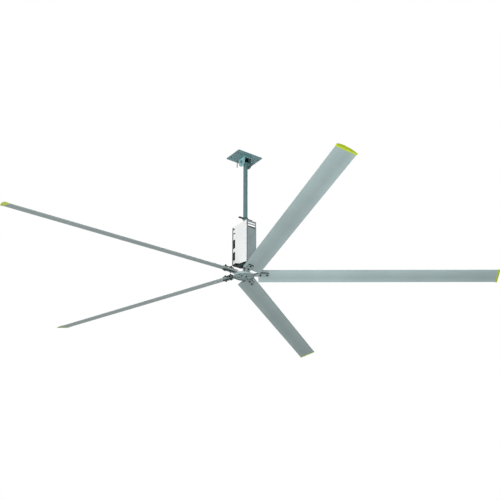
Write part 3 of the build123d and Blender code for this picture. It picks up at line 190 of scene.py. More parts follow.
class FanColours(PropertyGroup):
    hanger_paint: colour_property(
        "Hanger paint", "Powder coat of ceiling plate and bracket", (0.41, 0.55, 0.56)
    )
    stem_paint: colour_property("Stem paint", "Powder coat of the stem", (0.36, 0.48, 0.485))
    frame_paint: colour_property(
        "Frame paint", "Powder coat of the drive frame", (0.12, 0.18, 0.18)
    )
    side_paint: colour_property(
        "Side paint", "Powder coat of the right side and the rear", (0.56, 0.62, 0.625)
    )
    strip_paint: colour_property(
        "Strip paint", "Powder coat of the left side and its front edge", (0.36, 0.43, 0.42)
    )
    hub_paint: colour_property("Hub paint", "Powder coat of the hub", (0.46, 0.55, 0.55))
    # Painted highlight on the edge of the hub disc
    rim_paint: colour_property("Rim paint", "Bright edge of the hub disc", (0.68, 0.76, 0.76))
    cover_paint: colour_property(
        "Cover paint", "White powder coat of the front cover", (0.985, 0.995, 0.995)
    )
    blade_metal: colour_property(
        "Blade metal", "Anodised aluminium of the blades", (0.64, 0.715, 0.715)
    )
    cap_plastic: colour_property(
        "Cap plastic", "Moulded plastic of the end caps", (0.68, 0.77, 0.02)
    )
    zinc: colour_property("Zinc", "Zinc plate on bolts and nuts", (0.62, 0.65, 0.66))
    black_steel: colour_property("Black steel", "Black oxide on screws", (0.07, 0.075, 0.08))
    arm_metal: colour_property("Arm metal", "Grey coat of the blade arms", (0.50, 0.57, 0.57))
    cast_iron: colour_property(
        "Cast iron", "Grey enamel of the gear case and motor", (0.22, 0.27, 0.28)
    )
    drive_casting: colour_property(
        "Drive casting", "Dark coat of the drive housing", (0.13, 0.14, 0.15)
    )


class FanDetails(PropertyGroup):
    weld_size: length_property("Weld size", "Radius of the weld beads", 4.0 * mm)


class StudioSettings(PropertyGroup):
    floor_drop: length_property("Floor drop", "Height of the ceiling above the floor", 20.0)
    ambient: FloatProperty(
        name="Ambient", description="Strength of the sky light", default=0.24, min=0
    )
    key_power: power_property("Key power", "Power of the key lamp", 990.0)
    fill_power: power_property("Fill power", "Power of the fill lamp", 120.0)
    back_power: power_property("Back power", "Power of the back lamp", 450.0)
    floor_paleness: FloatProperty(
        name="Floor paleness", description="How pale the floor looks", default=0.8, min=0, max=1
    )
    camera_place: FloatVectorProperty(
        name="Camera place", description="Where the camera stands", subtype="TRANSLATION",
        default=(8.3706, -5.9487, -6.1029),
    )
    camera_turn: FloatVectorProperty(
        name="Camera turn", description="Tilt, roll and heading of the camera", subtype="EULER",
        default=(radians(115.2206), 0.0, radians(54.211)),
    )
    camera_lens: FloatProperty(
        name="Camera lens", description="Focal length of the camera in millimetres",
        default=68.616, min=1,
    )


# Materials


def linear(colour):
    """Screen colour as the shader takes it."""
    return (*Color(colour).from_srgb_to_scene_linear(), 1.0)


def start_material(name, roughness, metallic=0.0):
    """New material with its node tree, shader node and coordinates in the object's frame."""
    material = bpy.data.materials.new(f"{name}_finish")
    material.use_nodes = True
    tree = material.node_tree
    shader = tree.nodes["Principled BSDF"]
    shader.inputs["Roughness"].default_value = roughness
    shader.inputs["Metallic"].default_value = metallic
    coordinates = tree.nodes.new("ShaderNodeTexCoord")
    mapping = tree.nodes.new("ShaderNodeMapping")
    tree.links.new(coordinates.outputs["Object"], mapping.inputs["Vector"])
    return material, tree, shader, mapping


def add_noise(tree, mapping, scale, detail=3.0, roughness=0.5):
    """Noise pattern on the mapped coordinates."""
    noise = tree.nodes.new("ShaderNodeTexNoise")
    noise.inputs["Scale"].default_value = scale
    noise.inputs["Detail"].default_value = detail
    noise.inputs["Roughness"].default_value = roughness
    tree.links.new(mapping.outputs["Vector"], noise.inputs["Vector"])
    return noise


def add_rings(tree, mapping, scale, distortion):
    """Rings round the upright axis, on the mapped coordinates."""
    rings = tree.nodes.new("ShaderNodeTexWave")
    rings.wave_type = "RINGS"
    rings.rings_direction = "Z"
    rings.inputs["Scale"].default_value = scale
    rings.inputs["Distortion"].default_value = distortion
    tree.links.new(mapping.outputs["Vector"], rings.inputs["Vector"])
    return rings


def add_ramp(tree, factor, stops):
    """Colour ramp over a factor, from a list of positions and screen colours."""
    ramp = tree.nodes.new("ShaderNodeValToRGB")
    elements = ramp.color_ramp.elements
    for index, (position, colour) in enumerate(stops):
        element = elements[index] if index < 2 else elements.new(position)
        element.position = position
        element.color = linear(colour)
    tree.links.new(factor, ramp.inputs["Fac"])
    return ramp


def vary_roughness(tree, shader, factor, low, high):
    """Roughness that follows a pattern between two values."""
    span = tree.nodes.new("ShaderNodeMapRange")
    span.inputs["To Min"].default_value = low
    span.inputs["To Max"].default_value = high
    tree.links.new(factor, span.inputs["Value"])
    tree.links.new(span.outputs["Result"], shader.inputs["Roughness"])


def add_bump(tree, shader, height, distance, strength=1.0):
    """Bump whose depth is given in metres, laid over any bump that is already there."""
    bump = tree.nodes.new("ShaderNodeBump")
    bump.inputs["Distance"].default_value = distance
    bump.inputs["Strength"].default_value = strength
    tree.links.new(height, bump.inputs["Height"])
    if shader.inputs["Normal"].links:
        tree.links.new(shader.inputs["Normal"].links[0].from_socket, bump.inputs["Normal"])
    tree.links.new(bump.outputs["Normal"], shader.inputs["Normal"])


def seen_by_eye(tree):
    """1 for what the camera sees, also in a reflection or through glass, and 0 for what lights."""
    path = tree.nodes.new("ShaderNodeLightPath")
    seen = path.outputs["Is Camera Ray"]
    for ray in ("Is Glossy Ray", "Is Transmission Ray"):
        either = tree.nodes.new("ShaderNodeMath")
        either.operation = "MAXIMUM"
        tree.links.new(seen, either.inputs[0])
        tree.links.new(path.outputs[ray], either.inputs[1])
        seen = either.outputs["Value"]
    return seen


def shade(colour, factor):
    """Lighter or darker version of a screen colour."""
    return tuple(min(1.0, part * factor) for part in colour)


def tint(tree, shader, factor, colour, levels, ends=(0.3, 0.7)):
    """Base colour that a pattern takes from a darker to a lighter shade of one colour."""
    stops = [(end, shade(colour, level)) for end, level in zip(ends, levels)]
    ramp = add_ramp(tree, factor, stops)
    tree.links.new(ramp.outputs["Color"], shader.inputs["Base Color"])


def multiply(tree, first, second):
    """Product of two colours."""
    mix = tree.nodes.new("ShaderNodeMix")
    mix.data_type = "RGBA"
    mix.blend_type = "MULTIPLY"
    mix.inputs["Factor"].default_value = 1.0
    tree.links.new(first, mix.inputs["A"])
    tree.links.new(second, mix.inputs["B"])
    return mix.outputs["Result"]


def add_band(tree, mapping, shader, limit, colour):
    """Second paint on everything left of a limit along X."""
    split = tree.nodes.new("ShaderNodeSeparateXYZ")
    tree.links.new(mapping.outputs["Vector"], split.inputs["Vector"])
    left = tree.nodes.new("ShaderNodeMath")
    left.operation = "LESS_THAN"
    left.inputs[1].default_value = limit
    tree.links.new(split.outputs["X"], left.inputs[0])
    mix = tree.nodes.new("ShaderNodeMix")
    mix.data_type = "RGBA"
    mix.inputs["B"].default_value = linear(colour)
    tree.links.new(left.outputs["Value"], mix.inputs["Factor"])
    tree.links.new(shader.inputs["Base Color"].links[0].from_socket, mix.inputs["A"])
    tree.links.new(mix.outputs["Result"], shader.inputs["Base Color"])


def powder_coat(name, colour, roughness=0.42, contrast=0.05, gloss=0.5):
    """Baked powder coat: orange peel, slightly uneven tone and dust that dulls it in patches."""
    material, tree, shader, mapping = start_material(name, roughness)
    patches = add_noise(tree, mapping, 9.0, 4.0)
    levels = (1 - contrast, 1 + contrast)
    tint(tree, shader, patches.outputs["Fac"], colour, levels, (0.35, 0.65))
    vary_roughness(tree, shader, patches.outputs["Fac"], roughness - 0.06, roughness + 0.10)
    peel = add_noise(tree, mapping, 420.0, 2.0)
    add_bump(tree, shader, peel.outputs["Fac"], 0.03 * mm, 0.25)
    shader.inputs["Specular IOR Level"].default_value = gloss
    return material


def extruded_metal(name, colour, angle, pitch):
    """Anodised aluminium extrusion, with die lines along it and a painted sheen across its chord.
    """
    material, tree, shader, mapping = start_material(name, 0.45, 0.15)
    mapping.vector_type = "TEXTURE"
    mapping.inputs["Location"].default_value = (0, 0, rotor_plane)
    mapping.inputs["Rotation"].default_value = Euler((radians(-pitch), 0, radians(angle)))
    stretch = tree.nodes.new("ShaderNodeMapping")
    stretch.inputs["Scale"].default_value = (0.4, 60.0, 60.0)
    tree.links.new(mapping.outputs["Vector"], stretch.inputs["Vector"])
    lines = add_noise(tree, stretch, 9.0, 3.0, 0.6)
    tone = add_noise(tree, mapping, 1.6, 3.0)
    stops = [(0.3, shade(colour, 0.95)), (0.7, shade(colour, 1.05))]
    ramp = add_ramp(tree, lines.outputs["Fac"], stops)
    cloud = add_ramp(tree, tone.outputs["Fac"], [(0.3, (0.94,) * 3), (0.7, (1.0,) * 3)])
    base = multiply(tree, ramp.outputs["Color"], cloud.outputs["Color"])
    split = tree.nodes.new("ShaderNodeSeparateXYZ")
    tree.links.new(mapping.outputs["Vector"], split.inputs["Vector"])
    # Painted sheen: the colour is lighter at both edges of the chord and darker towards the middle
    along_chord = tree.nodes.new("ShaderNodeMapRange")
    along_chord.inputs["From Min"].default_value = blade_edges[0]
    along_chord.inputs["From Max"].default_value = blade_edges[1]
    tree.links.new(split.outputs["Y"], along_chord.inputs["Value"])
    levels = ((0.0, 1.0), (0.32, 0.95), (0.6, 0.92), (0.79, 0.95), (1.0, 0.99))
    stops = [(place, (level,) * 3) for place, level in levels]
    painted_sheen = add_ramp(tree, along_chord.outputs["Result"], stops)
    tree.links.new(multiply(tree, base, painted_sheen.outputs["Color"]), shader.inputs["Base Color"])
    vary_roughness(tree, shader, lines.outputs["Fac"], 0.40, 0.52)
    add_bump(tree, shader, lines.outputs["Fac"], 0.03 * mm, 0.4)
    shader.inputs["Specular IOR Level"].default_value = 0.35
    return material


def plated_metal(name, colour, roughness=0.34, metallic=0.9):
    """Steel with zinc plate or black oxide: a faint spangle, and smears that dull it."""
    material, tree, shader, mapping = start_material(name, roughness, metallic)
    spangle = tree.nodes.new("ShaderNodeTexVoronoi")
    spangle.inputs["Scale"].default_value = 260.0
    tree.links.new(mapping.outputs["Vector"], spangle.inputs["Vector"])
    tint(tree, shader, spangle.outputs["Color"], colour, (0.93, 1.06), (0.0, 1.0))
    smears = add_noise(tree, mapping, 80.0, 3.0)
    vary_roughness(tree, shader, smears.outputs["Fac"], roughness - 0.08, roughness + 0.14)
    add_bump(tree, shader, smears.outputs["Fac"], 0.02 * mm, 0.4)
    return material


def cast_metal(name, colour, roughness=0.55):
    """Painted sand casting, with a coarse skin under the enamel."""
    material, tree, shader, mapping = start_material(name, roughness, 0.1)
    skin = add_noise(tree, mapping, 160.0, 5.0, 0.6)
    tone = add_noise(tree, mapping, 14.0, 3.0)
    tint(tree, shader, tone.outputs["Fac"], colour, (0.88, 1.1))
    vary_roughness(tree, shader, skin.outputs["Fac"], roughness - 0.1, roughness + 0.12)
    add_bump(tree, shader, skin.outputs["Fac"], 0.25 * mm, 0.6)
    return material


def turned_metal(name, colour, roughness=0.25):
    """Machined steel or bronze, with fine turning marks round the upright axis."""
    material, tree, shader, mapping = start_material(name, roughness, 1.0)
    rings = add_rings(tree, mapping, 900.0, 1.5)
    tint(tree, shader, rings.outputs["Fac"], colour, (0.94, 1.04), (0.0, 1.0))
    vary_roughness(tree, shader, rings.outputs["Fac"], roughness - 0.05, roughness + 0.1)
    return material


def moulded_plastic(name, colour, roughness=0.4, grain=0.05 * mm):
    """Injection moulded plastic or rubber with a fine spark-eroded grain."""
    material, tree, shader, mapping = start_material(name, roughness)
    tone = add_noise(tree, mapping, 22.0, 2.0)
    tint(tree, shader, tone.outputs["Fac"], colour, (0.96, 1.03))
    texture = add_noise(tree, mapping, 1200.0, 1.0)
    vary_roughness(tree, shader, texture.outputs["Fac"], roughness - 0.05, roughness + 0.08)
    add_bump(tree, shader, texture.outputs["Fac"], grain, 0.5)
    shader.inputs["Subsurface Weight"].default_value = 0.05
    shader.inputs["Subsurface Radius"].default_value = (2 * mm, 2 * mm, 1 * mm)
    return material


def board_lacquer(name):
    """Green solder mask over copper tracks."""
    material, tree, shader, mapping = start_material(name, 0.3)
    tracks = tree.nodes.new("ShaderNodeTexBrick")
    tracks.inputs["Scale"].default_value = 90.0
    tracks.inputs["Mortar Size"].default_value = 0.03
    tracks.inputs["Color1"].default_value = linear((0.04, 0.24, 0.13))
    tracks.inputs["Color2"].default_value = linear((0.05, 0.29, 0.15))
    tracks.inputs["Mortar"].default_value = linear((0.15, 0.42, 0.22))
    tree.links.new(mapping.outputs["Vector"], tracks.inputs["Vector"])
    tree.links.new(tracks.outputs["Color"], shader.inputs["Base Color"])
    add_bump(tree, shader, tracks.outputs["Fac"], 0.04 * mm, 0.5)
    return material


def laminated_steel(name, colour):
    """Stack of thin stamped sheets, seen as fine level lines."""
    material, tree, shader, mapping = start_material(name, 0.45, 0.8)
    sheets = tree.nodes.new("ShaderNodeTexWave")
    sheets.bands_direction = "Z"
    sheets.inputs["Scale"].default_value = 600.0
    tree.links.new(mapping.outputs["Vector"], sheets.inputs["Vector"])
    tint(tree, shader, sheets.outputs["Fac"], colour, (0.7, 1.0), (0.0, 0.5))
    add_bump(tree, shader, sheets.outputs["Fac"], 0.1 * mm, 0.6)
    return material


def enamelled_wire(name, colour):
    """Enamelled copper wire, wound in close turns."""
    material, tree, shader, mapping = start_material(name, 0.28, 0.85)
    turns = add_rings(tree, mapping, 300.0, 0.8)
    tint(tree, shader, turns.outputs["Fac"], colour, (0.45, 1.0), (0.0, 0.5))
    add_bump(tree, shader, turns.outputs["Fac"], 0.4 * mm, 0.8)
    return material


# Modelling


def deselect_all():
    """Clears the selection, which the loaded solids hold at first."""
    for piece in bpy.context.view_layer.objects:
        piece.select_set(False)


def make_active(piece):
    """Selects one piece alone."""
    deselect_all()
    piece.select_set(True)
    bpy.context.view_layer.objects.active = piece


def started(name):
    """The primitive that was just added, named and alone in the selection."""
    piece = bpy.context.active_object
    piece.name = name
    make_active(piece)
    return piece


def choose(piece, test):
    """Selects the vertices of the piece in edit mode for which the test holds."""
    bpy.ops.mesh.select_mode(type="VERT")
    bpy.ops.mesh.select_all(action="DESELECT")
    mesh = bmesh.from_edit_mesh(piece.data)
    for vertex in mesh.verts:
        if test(vertex):
            vertex.select_set(True)
    mesh.select_flush_mode()
    bmesh.update_edit_mesh(piece.data)


def apply_modifier(piece, kind, **settings):
    """Adds a modifier with its settings and applies it."""
    make_active(piece)
    modifier = piece.modifiers.new(kind.title(), kind)
    for setting, value in settings.items():
        setattr(modifier, setting, value)
    bpy.ops.object.modifier_apply(modifier=modifier.name)


def settle(piece, angle=35.0):
    """Puts a piece's place into its mesh and smooths its round faces."""
    make_active(piece)
    bpy.ops.object.transform_apply(location=True, rotation=True, scale=True)
    bpy.ops.object.shade_smooth_by_angle(angle=radians(angle))
    return piece


def paint(piece, material):
    """Gives a piece one material all over."""
    if piece.material_slots:
        for material_slot in piece.material_slots:
            material_slot.material = material
    else:
        piece.data.materials.append(material)


def finish_piece(piece, body, slot, *nodes, finish=None):
    """Paints a piece, as its slot says if no finish is named, ties it to a body and hides the
    nodes.
    """
    paint(piece, finishes[finish or slot])
    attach(piece, body)
    if nodes:
        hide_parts(*nodes)
    return piece


def node_body(node):
    """Body that a node belongs to."""
    for body, members in frame["record"]["behaviour"]["bodies"].items():
        if node in members:
            return body
    raise RuntimeError(f"no body holds {node}")


def in_plane(height):
    """Height above the rotor plane, as a height in the fan's own frame."""
    return rotor_plane + height


def in_mm(steps):
    """Radii and heights given in millimetres, in metres."""
    return [(radius * mm, height * mm) for radius, height in steps]


def corners(x, y):
    """The four places at a distance either way along X and Y."""
    return [(i * x, j * y) for i in (-1, 1) for j in (-1, 1)]


def spot(x, y, z, turn=(0, 0, 0)):
    """Place for a copy: where it stands and how it is turned, in degrees."""
    tilt = Euler([radians(part) for part in turn]).to_matrix().to_4x4()
    return Matrix.Translation((x, y, z)) @ tilt


def on_blade(angle, radius, lift, pitch=blade_pitch):
    """Place on an arm or blade: X outwards, Z up off its upper side."""
    along = Vector((cos(radians(angle)), sin(radians(angle)), 0))
    across = Vector((-sin(radians(angle)), cos(radians(angle)), 0))
    chord = across * cos(radians(pitch)) - Vector((0, 0, sin(radians(pitch))))
    up = along.cross(chord)
    place = Matrix((along, up.cross(along), up)).transposed().to_4x4()
    place.translation = along * radius + up * lift + Vector((0, 0, rotor_plane))
    return place


def turned(name, steps, vertices=24):
    """Solid turned about Z through radii and heights, from the first step up to the last."""
    radius, height = steps[0]
    deselect_all()
    bpy.ops.mesh.primitive_circle_add(vertices=vertices, radius=radius, fill_type="NGON")
    piece = started(name)
    bpy.ops.object.mode_set(mode="EDIT")
    bpy.ops.mesh.select_mode(type="FACE")
    bpy.ops.mesh.select_all(action="SELECT")
    bpy.ops.transform.translate(value=(0, 0, height))
    for next_radius, next_height in steps[1:]:
        move = (0, 0, next_height - height)
        bpy.ops.mesh.extrude_region_move(TRANSFORM_OT_translate={"value": move})
        growth = next_radius / radius
        bpy.ops.transform.resize(value=(growth, growth, 1), center_override=(0, 0, next_height))
        radius, height = next_radius, next_height
    bpy.ops.mesh.select_all(action="SELECT")
    bpy.ops.mesh.normals_make_consistent(inside=False)
    bpy.ops.object.mode_set(mode="OBJECT")
    return piece


def hexagon(name, width, bottom, top):
    """Bolt head or nut, chamfered at both ends, with its width across the flats."""
    corner = width / 2 / cos(radians(30))
    chamfer = 0.07 * width
    steps = [(corner - chamfer, bottom), (corner, bottom + 0.6 * chamfer)]
    steps += [(corner, top - 0.6 * chamfer), (corner - chamfer, top)]
    return turned(name, steps, 6)


def washer(name, size, bottom):
    """Washer with a rounded rim, closed where the shank fills it."""
    rim = 0.25 * size.washer_height
    top = bottom + size.washer_height
    outline = [(size.washer - rim, bottom), (size.washer, bottom + rim), (size.washer, top - rim)]
    return turned(name, outline + [(size.washer - rim, top)])


def thread(radius, start, end, pitch):
    """Crests and roots of a thread between two heights, with a chamfered end."""
    steps = []
    for turn in range(int((end - start) / pitch)):
        steps.append((radius, start + turn * pitch))
        steps.append((radius * (1 - 2 * thread_depth), start + (turn + 0.5) * pitch))
    return steps + [(radius, end - 0.8 * pitch), (radius * 0.86, end)]


def joined(name, pieces):
    """One piece made of several."""
    make_active(pieces[0])
    for piece in pieces:
        piece.select_set(True)
    if len(pieces) > 1:
        bpy.ops.object.join()
    pieces[0].name = name
    return settle(pieces[0])


def bolt(name, size, grip, length, washers=True):
    """Bolt along Z with its head under zero, and a nut on its thread past what it clamps."""
    shank = [(size.diameter / 2, 0.0)] + thread(size.diameter / 2, grip, length, size.pitch)
    pieces = [turned("shank", shank, 12), hexagon("head", size.width, -size.head, 0.0)]
    pieces.append(hexagon("nut", size.width, grip + tiny_gap, grip + size.nut))
    if washers:
        pieces.append(washer("head_washer", size, tiny_gap))
        pieces.append(washer("nut_washer", size, grip - size.washer_height))
    return joined(name, pieces)


def screw(name, size, length):
    """Bolt along Z with its head under zero, that ends in a blind hole."""
    shank = [(size.diameter / 2, 0.0)] + thread(size.diameter / 2, 0.4 * length, length, size.pitch)
    return joined(name, [turned("shank", shank, 12), hexagon("head", size.width, -size.head, 0.0)])


def weld_ring(name, radius, size):
    """Weld bead round a tube, with the ripples of its runs."""
    deselect_all()
    bpy.ops.mesh.primitive_torus_add(
        major_segments=160, minor_segments=10, major_radius=radius, minor_radius=size,
    )
    bead = started(name)
    bpy.ops.object.mode_set(mode="EDIT")
    for ripple in range(weld_ripples):
        lower, upper = (radians(360 / weld_ripples * (ripple + half)) for half in (0, 0.5))

        def on_ripple(vertex):
            turn = vertex.co.xy.angle_signed(Vector((1, 0)), 0) % radians(360)
            return lower <= turn < upper

        choose(bead, on_ripple)
        bpy.ops.transform.shrink_fatten(value=0.12 * size)
    bpy.ops.object.mode_set(mode="OBJECT")
    return settle(bead, 60)


def scatter(pattern, name, places):
    """Copies of a finished pattern at each place, joined into one piece, in the pattern's stead."""
    copies = []
    for place in places:
        copy = bpy.data.objects.new(name, pattern.data.copy())
        copy.data.transform(place)
        bpy.context.collection.objects.link(copy)
        copies.append(copy)
    piece = joined(name, copies)
    bpy.data.objects.remove(pattern)
    return piece


def repaint(piece, finish, test):
    """Gives another finish to the faces for which the test holds."""
    piece.data.materials.append(finishes[finish])
    index = len(piece.data.materials) - 1
    for face in piece.data.polygons:
        if test(face):
            face.material_index = index


def soften(node, slot, width, segments=2, angle=40.0, finish=None):
    """Copy of a node with its sharp edges rounded to a width, which stands for the node."""
    piece = bpy.data.objects.new(f"{node}_finished", frame["nodes"][node].data.copy())
    bpy.context.collection.objects.link(piece)
    make_active(piece)
    bpy.ops.mesh.customdata_custom_splitnormals_clear()
    bpy.ops.object.mode_set(mode="EDIT")
    bpy.ops.mesh.select_all(action="SELECT")
    bpy.ops.mesh.remove_doubles(threshold=merge_distance)
    bpy.ops.mesh.dissolve_limited(angle_limit=radians(flat_angle))
    bpy.ops.object.mode_set(mode="OBJECT")
    apply_modifier(
        piece, "BEVEL", width=width, segments=segments, limit_method="ANGLE",
        angle_limit=radians(angle),
    )
    settle(piece)
    apply_modifier(piece, "WEIGHTED_NORMAL", keep_sharp=True)
    return finish_piece(piece, node_body(node), slot, node, finish=finish)


class FAN_OT_stage(Operator):
    """Sets up the floor, the lamps, the white background and the camera"""

    bl_idname = "fan.stage"
    bl_label = "Stage"

    def execute(self, context):
        studio = context.scene.fan_studio
        deselect_all()
        bpy.ops.mesh.primitive_plane_add(size=floor_size, location=(0, 0, -studio.floor_drop))
        floor = started("floor")
        material, tree, shader, mapping = start_material("floor_screed", 0.9)
        clouds = add_noise(tree, mapping, 0.6, 2.0)
        stops = [(0.3, (0.945,) * 3), (0.7, (0.955,) * 3)]
        ramp = add_ramp(tree, clouds.outputs["Fac"], stops)
        tree.links.new(ramp.outputs["Color"], shader.inputs["Base Color"])
        shader.inputs["Specular IOR Level"].default_value = 0.1
        glow = tree.nodes.new("ShaderNodeEmission")
        tree.links.new(ramp.outputs["Color"], glow.inputs["Color"])
        paleness = tree.nodes.new("ShaderNodeMapRange")
        paleness.inputs["To Max"].default_value = studio.floor_paleness
        tree.links.new(seen_by_eye(tree), paleness.inputs["Value"])
        blend = tree.nodes.new("ShaderNodeMixShader")
        tree.links.new(paleness.outputs["Result"], blend.inputs["Fac"])
        tree.links.new(shader.outputs["BSDF"], blend.inputs[1])
        tree.links.new(glow.outputs["Emission"], blend.inputs[2])
        tree.links.new(blend.outputs["Shader"], tree.nodes["Material Output"].inputs["Surface"])
        paint(floor, material)

        # The key lamp isn't mirrored in the fan, where it would glare along the blades' edges
        for plan in (
            Lamp("key_lamp", (5.8, -7.3, -5.2), (111, 0, 38.5), 6.0, studio.key_power),
            Lamp("fill_lamp", (-3.0, 3.0, -7.8), (146, 0, -135), 5.0, studio.fill_power),
            Lamp("back_lamp", (-6.0, 7.0, 3.0), (63.5, 0, -139.4), 6.0, studio.back_power),
        ):
            turn = [radians(part) for part in plan.turn]
            bpy.ops.object.light_add(type="AREA", location=plan.place, rotation=turn)
            lamp = context.active_object
            lamp.name = plan.name
            lamp.data.size = plan.size
            lamp.data.energy = plan.power
            lamp.visible_glossy = plan.name != "key_lamp"

        world = bpy.data.worlds.new("studio")
        context.scene.world = world
        world.use_nodes = True
        tree = world.node_tree
        background = tree.nodes["Background"]
        background.inputs["Color"].default_value = (1, 1, 1, 1)
        strength = tree.nodes.new("ShaderNodeMapRange")
        strength.inputs["To Min"].default_value = studio.ambient
        strength.inputs["To Max"].default_value = 1.0
        tree.links.new(seen_by_eye(tree), strength.inputs["Value"])
        tree.links.new(strength.outputs["Result"], background.inputs["Strength"])

        bpy.ops.object.camera_add(location=studio.camera_place, rotation=studio.camera_turn)
        camera = context.active_object
        camera.name = "camera"
        camera.data.lens = studio.camera_lens
        context.scene.camera = camera
        context.scene.view_settings.view_transform = "Standard"
        return {"FINISHED"}


class FAN_OT_paint_solids(Operator):
    """Gives every solid that is kept its finish"""

    bl_idname = "fan.paint_solids"
    bl_label = "Finish the solids"

    def execute(self, context):
        colours = context.scene.fan_colours
        for make, name, *settings in (
            (powder_coat, "hanger_paint", colours.hanger_paint),
            (powder_coat, "stem_paint", colours.stem_paint),
            (powder_coat, "frame_paint", colours.frame_paint, 0.5, 0.08, 0.3),
            (powder_coat, "side_paint", colours.side_paint),
            (powder_coat, "cover_paint", colours.cover_paint, 0.36, 0.01),
            (plated_metal, "zinc_steel", colours.zinc),
            (plated_metal, "black_steel", colours.black_steel, 0.4, 0.6),
            (turned_metal, "bush_bronze", (0.62, 0.45, 0.25), 0.35),
            (cast_metal, "drive_casting", colours.drive_casting),
            (board_lacquer, "circuit_board"),
            (moulded_plastic, "gland_plastic", (0.10, 0.10, 0.11), 0.45),
            (cast_metal, "case_iron", colours.cast_iron),
            (moulded_plastic, "seal_rubber", (0.05, 0.05, 0.05), 0.7, 0.1 * mm),
            (turned_metal, "bearing_steel", (0.72, 0.73, 0.74), 0.15),
            (turned_metal, "gear_steel", (0.55, 0.56, 0.57), 0.3),
            (laminated_steel, "core_steel", (0.42, 0.43, 0.45)),
            (enamelled_wire, "winding_copper", (0.72, 0.34, 0.14)),
            (powder_coat, "hub_paint", colours.hub_paint),
            (powder_coat, "arm_steel", colours.arm_metal),
            (moulded_plastic, "cap_plastic", colours.cap_plastic),
            # Shaded copy of the cap plastic: painted shade on the caps' outer ends
            (moulded_plastic, "cap_shade", shade(colours.cap_plastic, 0.9)),
            (powder_coat, "wire_bar_paint", shade(colours.stem_paint, 0.6)),
            # Lit and shaded copies of the hanger paint: painted highlight and painted shadow on the
            # bracket
            (powder_coat, "bracket_paint", shade(colours.hanger_paint, 1.4)),
            (powder_coat, "bracket_shade", shade(colours.hanger_paint, 0.75)),
            (powder_coat, "strip_paint", colours.strip_paint),
            # Painted highlight on the hub disc's rim
            (powder_coat, "rim_paint", colours.rim_paint),
            # Painted shade: a near-black paint laid on hole walls, insides and sides that stand in
            # shade
            (powder_coat, "dark_primer", (0.05, 0.10, 0.10), 0.8, 0.1, 0.15),
            # Dark paint of the corner strip, a painted shadow
            (moulded_plastic, "trim_rubber", (0.38, 0.43, 0.43), 0.6),
        ):
            finishes[name] = make(name, *settings)
        cover = finishes["cover_paint"].node_tree
        band_mapping = next(node for node in cover.nodes if node.type == "MAPPING")
        shader = cover.nodes["Principled BSDF"]
        add_band(cover, band_mapping, shader, front_band_edge, colours.strip_paint)
        # Each blade's metal is made lighter or darker by its level, as painted light for how light
        # falls on it
        for number, (angle, tone) in enumerate(zip(blade_angles, blade_light_levels), 1):
            metal = shade(colours.blade_metal, tone)
            name = f"blade_aluminium_{number}"
            finishes[f"blade_{number}"] = extruded_metal(name, metal, angle, blade_pitch)
        for node, slot in frame_slots.items():
            paint(frame["nodes"][node], finishes.get(node) or finishes[slot])
        return {"FINISHED"}


class FAN_OT_hanger(Operator):
    """Rounds the ceiling plate and bracket and adds their screws, pivot bolt and safety stud"""

    bl_idname = "fan.hanger"
    bl_label = "Hanger"

    def execute(self, context):
        plate = soften("ceiling_plate", "hanger_paint", 0.8 * mm)
        across, rows = anchor_holes_at
        holes = [place for row in rows for place in corners(across, row)]

        def in_hole(face):
            near = min((Vector(hole) - face.center.xy).length for hole in holes)
            return near < anchor_hole_radius + 2 * tiny_gap and abs(face.normal.z) < 0.8

        # Painted shade on the walls of the anchor holes
        repaint(plate, "dark_primer", in_hole)
        # The bracket gets a lighter copy of the hanger paint as a painted highlight, painted shade
        # under its web between the ears, and a darker copy as a painted shadow on the far ear and
        # on faces turned to +Y
        bracket = soften("hanger_bracket", "hanger_paint", 0.8 * mm, finish="bracket_paint")
        repaint(bracket, "dark_primer", lambda face: (
            face.normal.z < -0.9 and abs(face.center.y - stem_y) < 0.05
        ))
        repaint(bracket, "bracket_shade", lambda face: (
            face.center.y > stem_y + 0.04 or face.normal.y > 0.5
        ))

        body = in_mm([(12, 0), (6, 6), (6, 20)])
        shank = turned("shank", body + thread(6 * mm, 22 * mm, 34 * mm, m12.pitch))
        nut = hexagon("nut", m12.width, 21.5 * mm, 31 * mm)
        foot = turned("washer", in_mm([(12, 20.1), (12, 21.4)]))
        pattern = joined("bracket_screw", [shank, nut, foot])
        places = [spot(x, stem_y + y, 0, (180, 0, 0)) for x, y in corners(*bracket_screws_at)]
        piece = scatter(pattern, "bracket_screws_finished", places)
        finish_piece(piece, "ceiling", "zinc_steel", "bracket_screws")

        grip = 2 * ear_face + 2 * m20.washer_height
        pattern = bolt("pivot", m20, grip, grip + m20.washer_height + m20.nut + 3 * mm)
        start = stem_y - ear_face - m20.washer_height
        piece = scatter(pattern, "pivot_bolt_finished", [spot(0, start, pivot_height, (-90, 0, 0))])
        finish_piece(piece, "ceiling", "zinc_steel", "pivot_bolt")

        rod = turned("stud", thread(6 * mm, -9 * mm, stud_reach, m12.pitch), 16)
        nut = hexagon("stud_nut", m12.width, 2.6 * mm, 12 * mm)
        pattern = joined("stud", [rod, nut, washer("stud_washer", m12, tiny_gap)])
        places = [spot(*stud_at, plate_underside, (180, 0, 0))]
        piece = scatter(pattern, "safety_stud_finished", places)
        finish_piece(piece, "ceiling", "zinc_steel", "safety_stud")
        return {"FINISHED"}


class FAN_OT_stem(Operator):
    """Rounds the stem and the guy wire bar and adds the welds of the stem"""

    bl_idname = "fan.stem"
    bl_label = "Stem"

    def execute(self, context):
        soften("stem", "stem_paint", 0.8 * mm)
        soften("guy_wire_bar", "stem_paint", 0.8 * mm, finish="wire_bar_paint")
        for name, height, radius, finish in (
            ("bar_weld", bar_weld_height, stem_radius, "wire_bar_paint"),
            ("socket_weld", socket_foot, socket_radius, "frame_paint"),
        ):
            bead = weld_ring(name, radius, context.scene.fan_details.weld_size)
            piece = scatter(bead, name, [spot(0, stem_y, in_plane(height))])
            finish_piece(piece, "frame", "stem_paint", finish=finish)
        return {"FINISHED"}


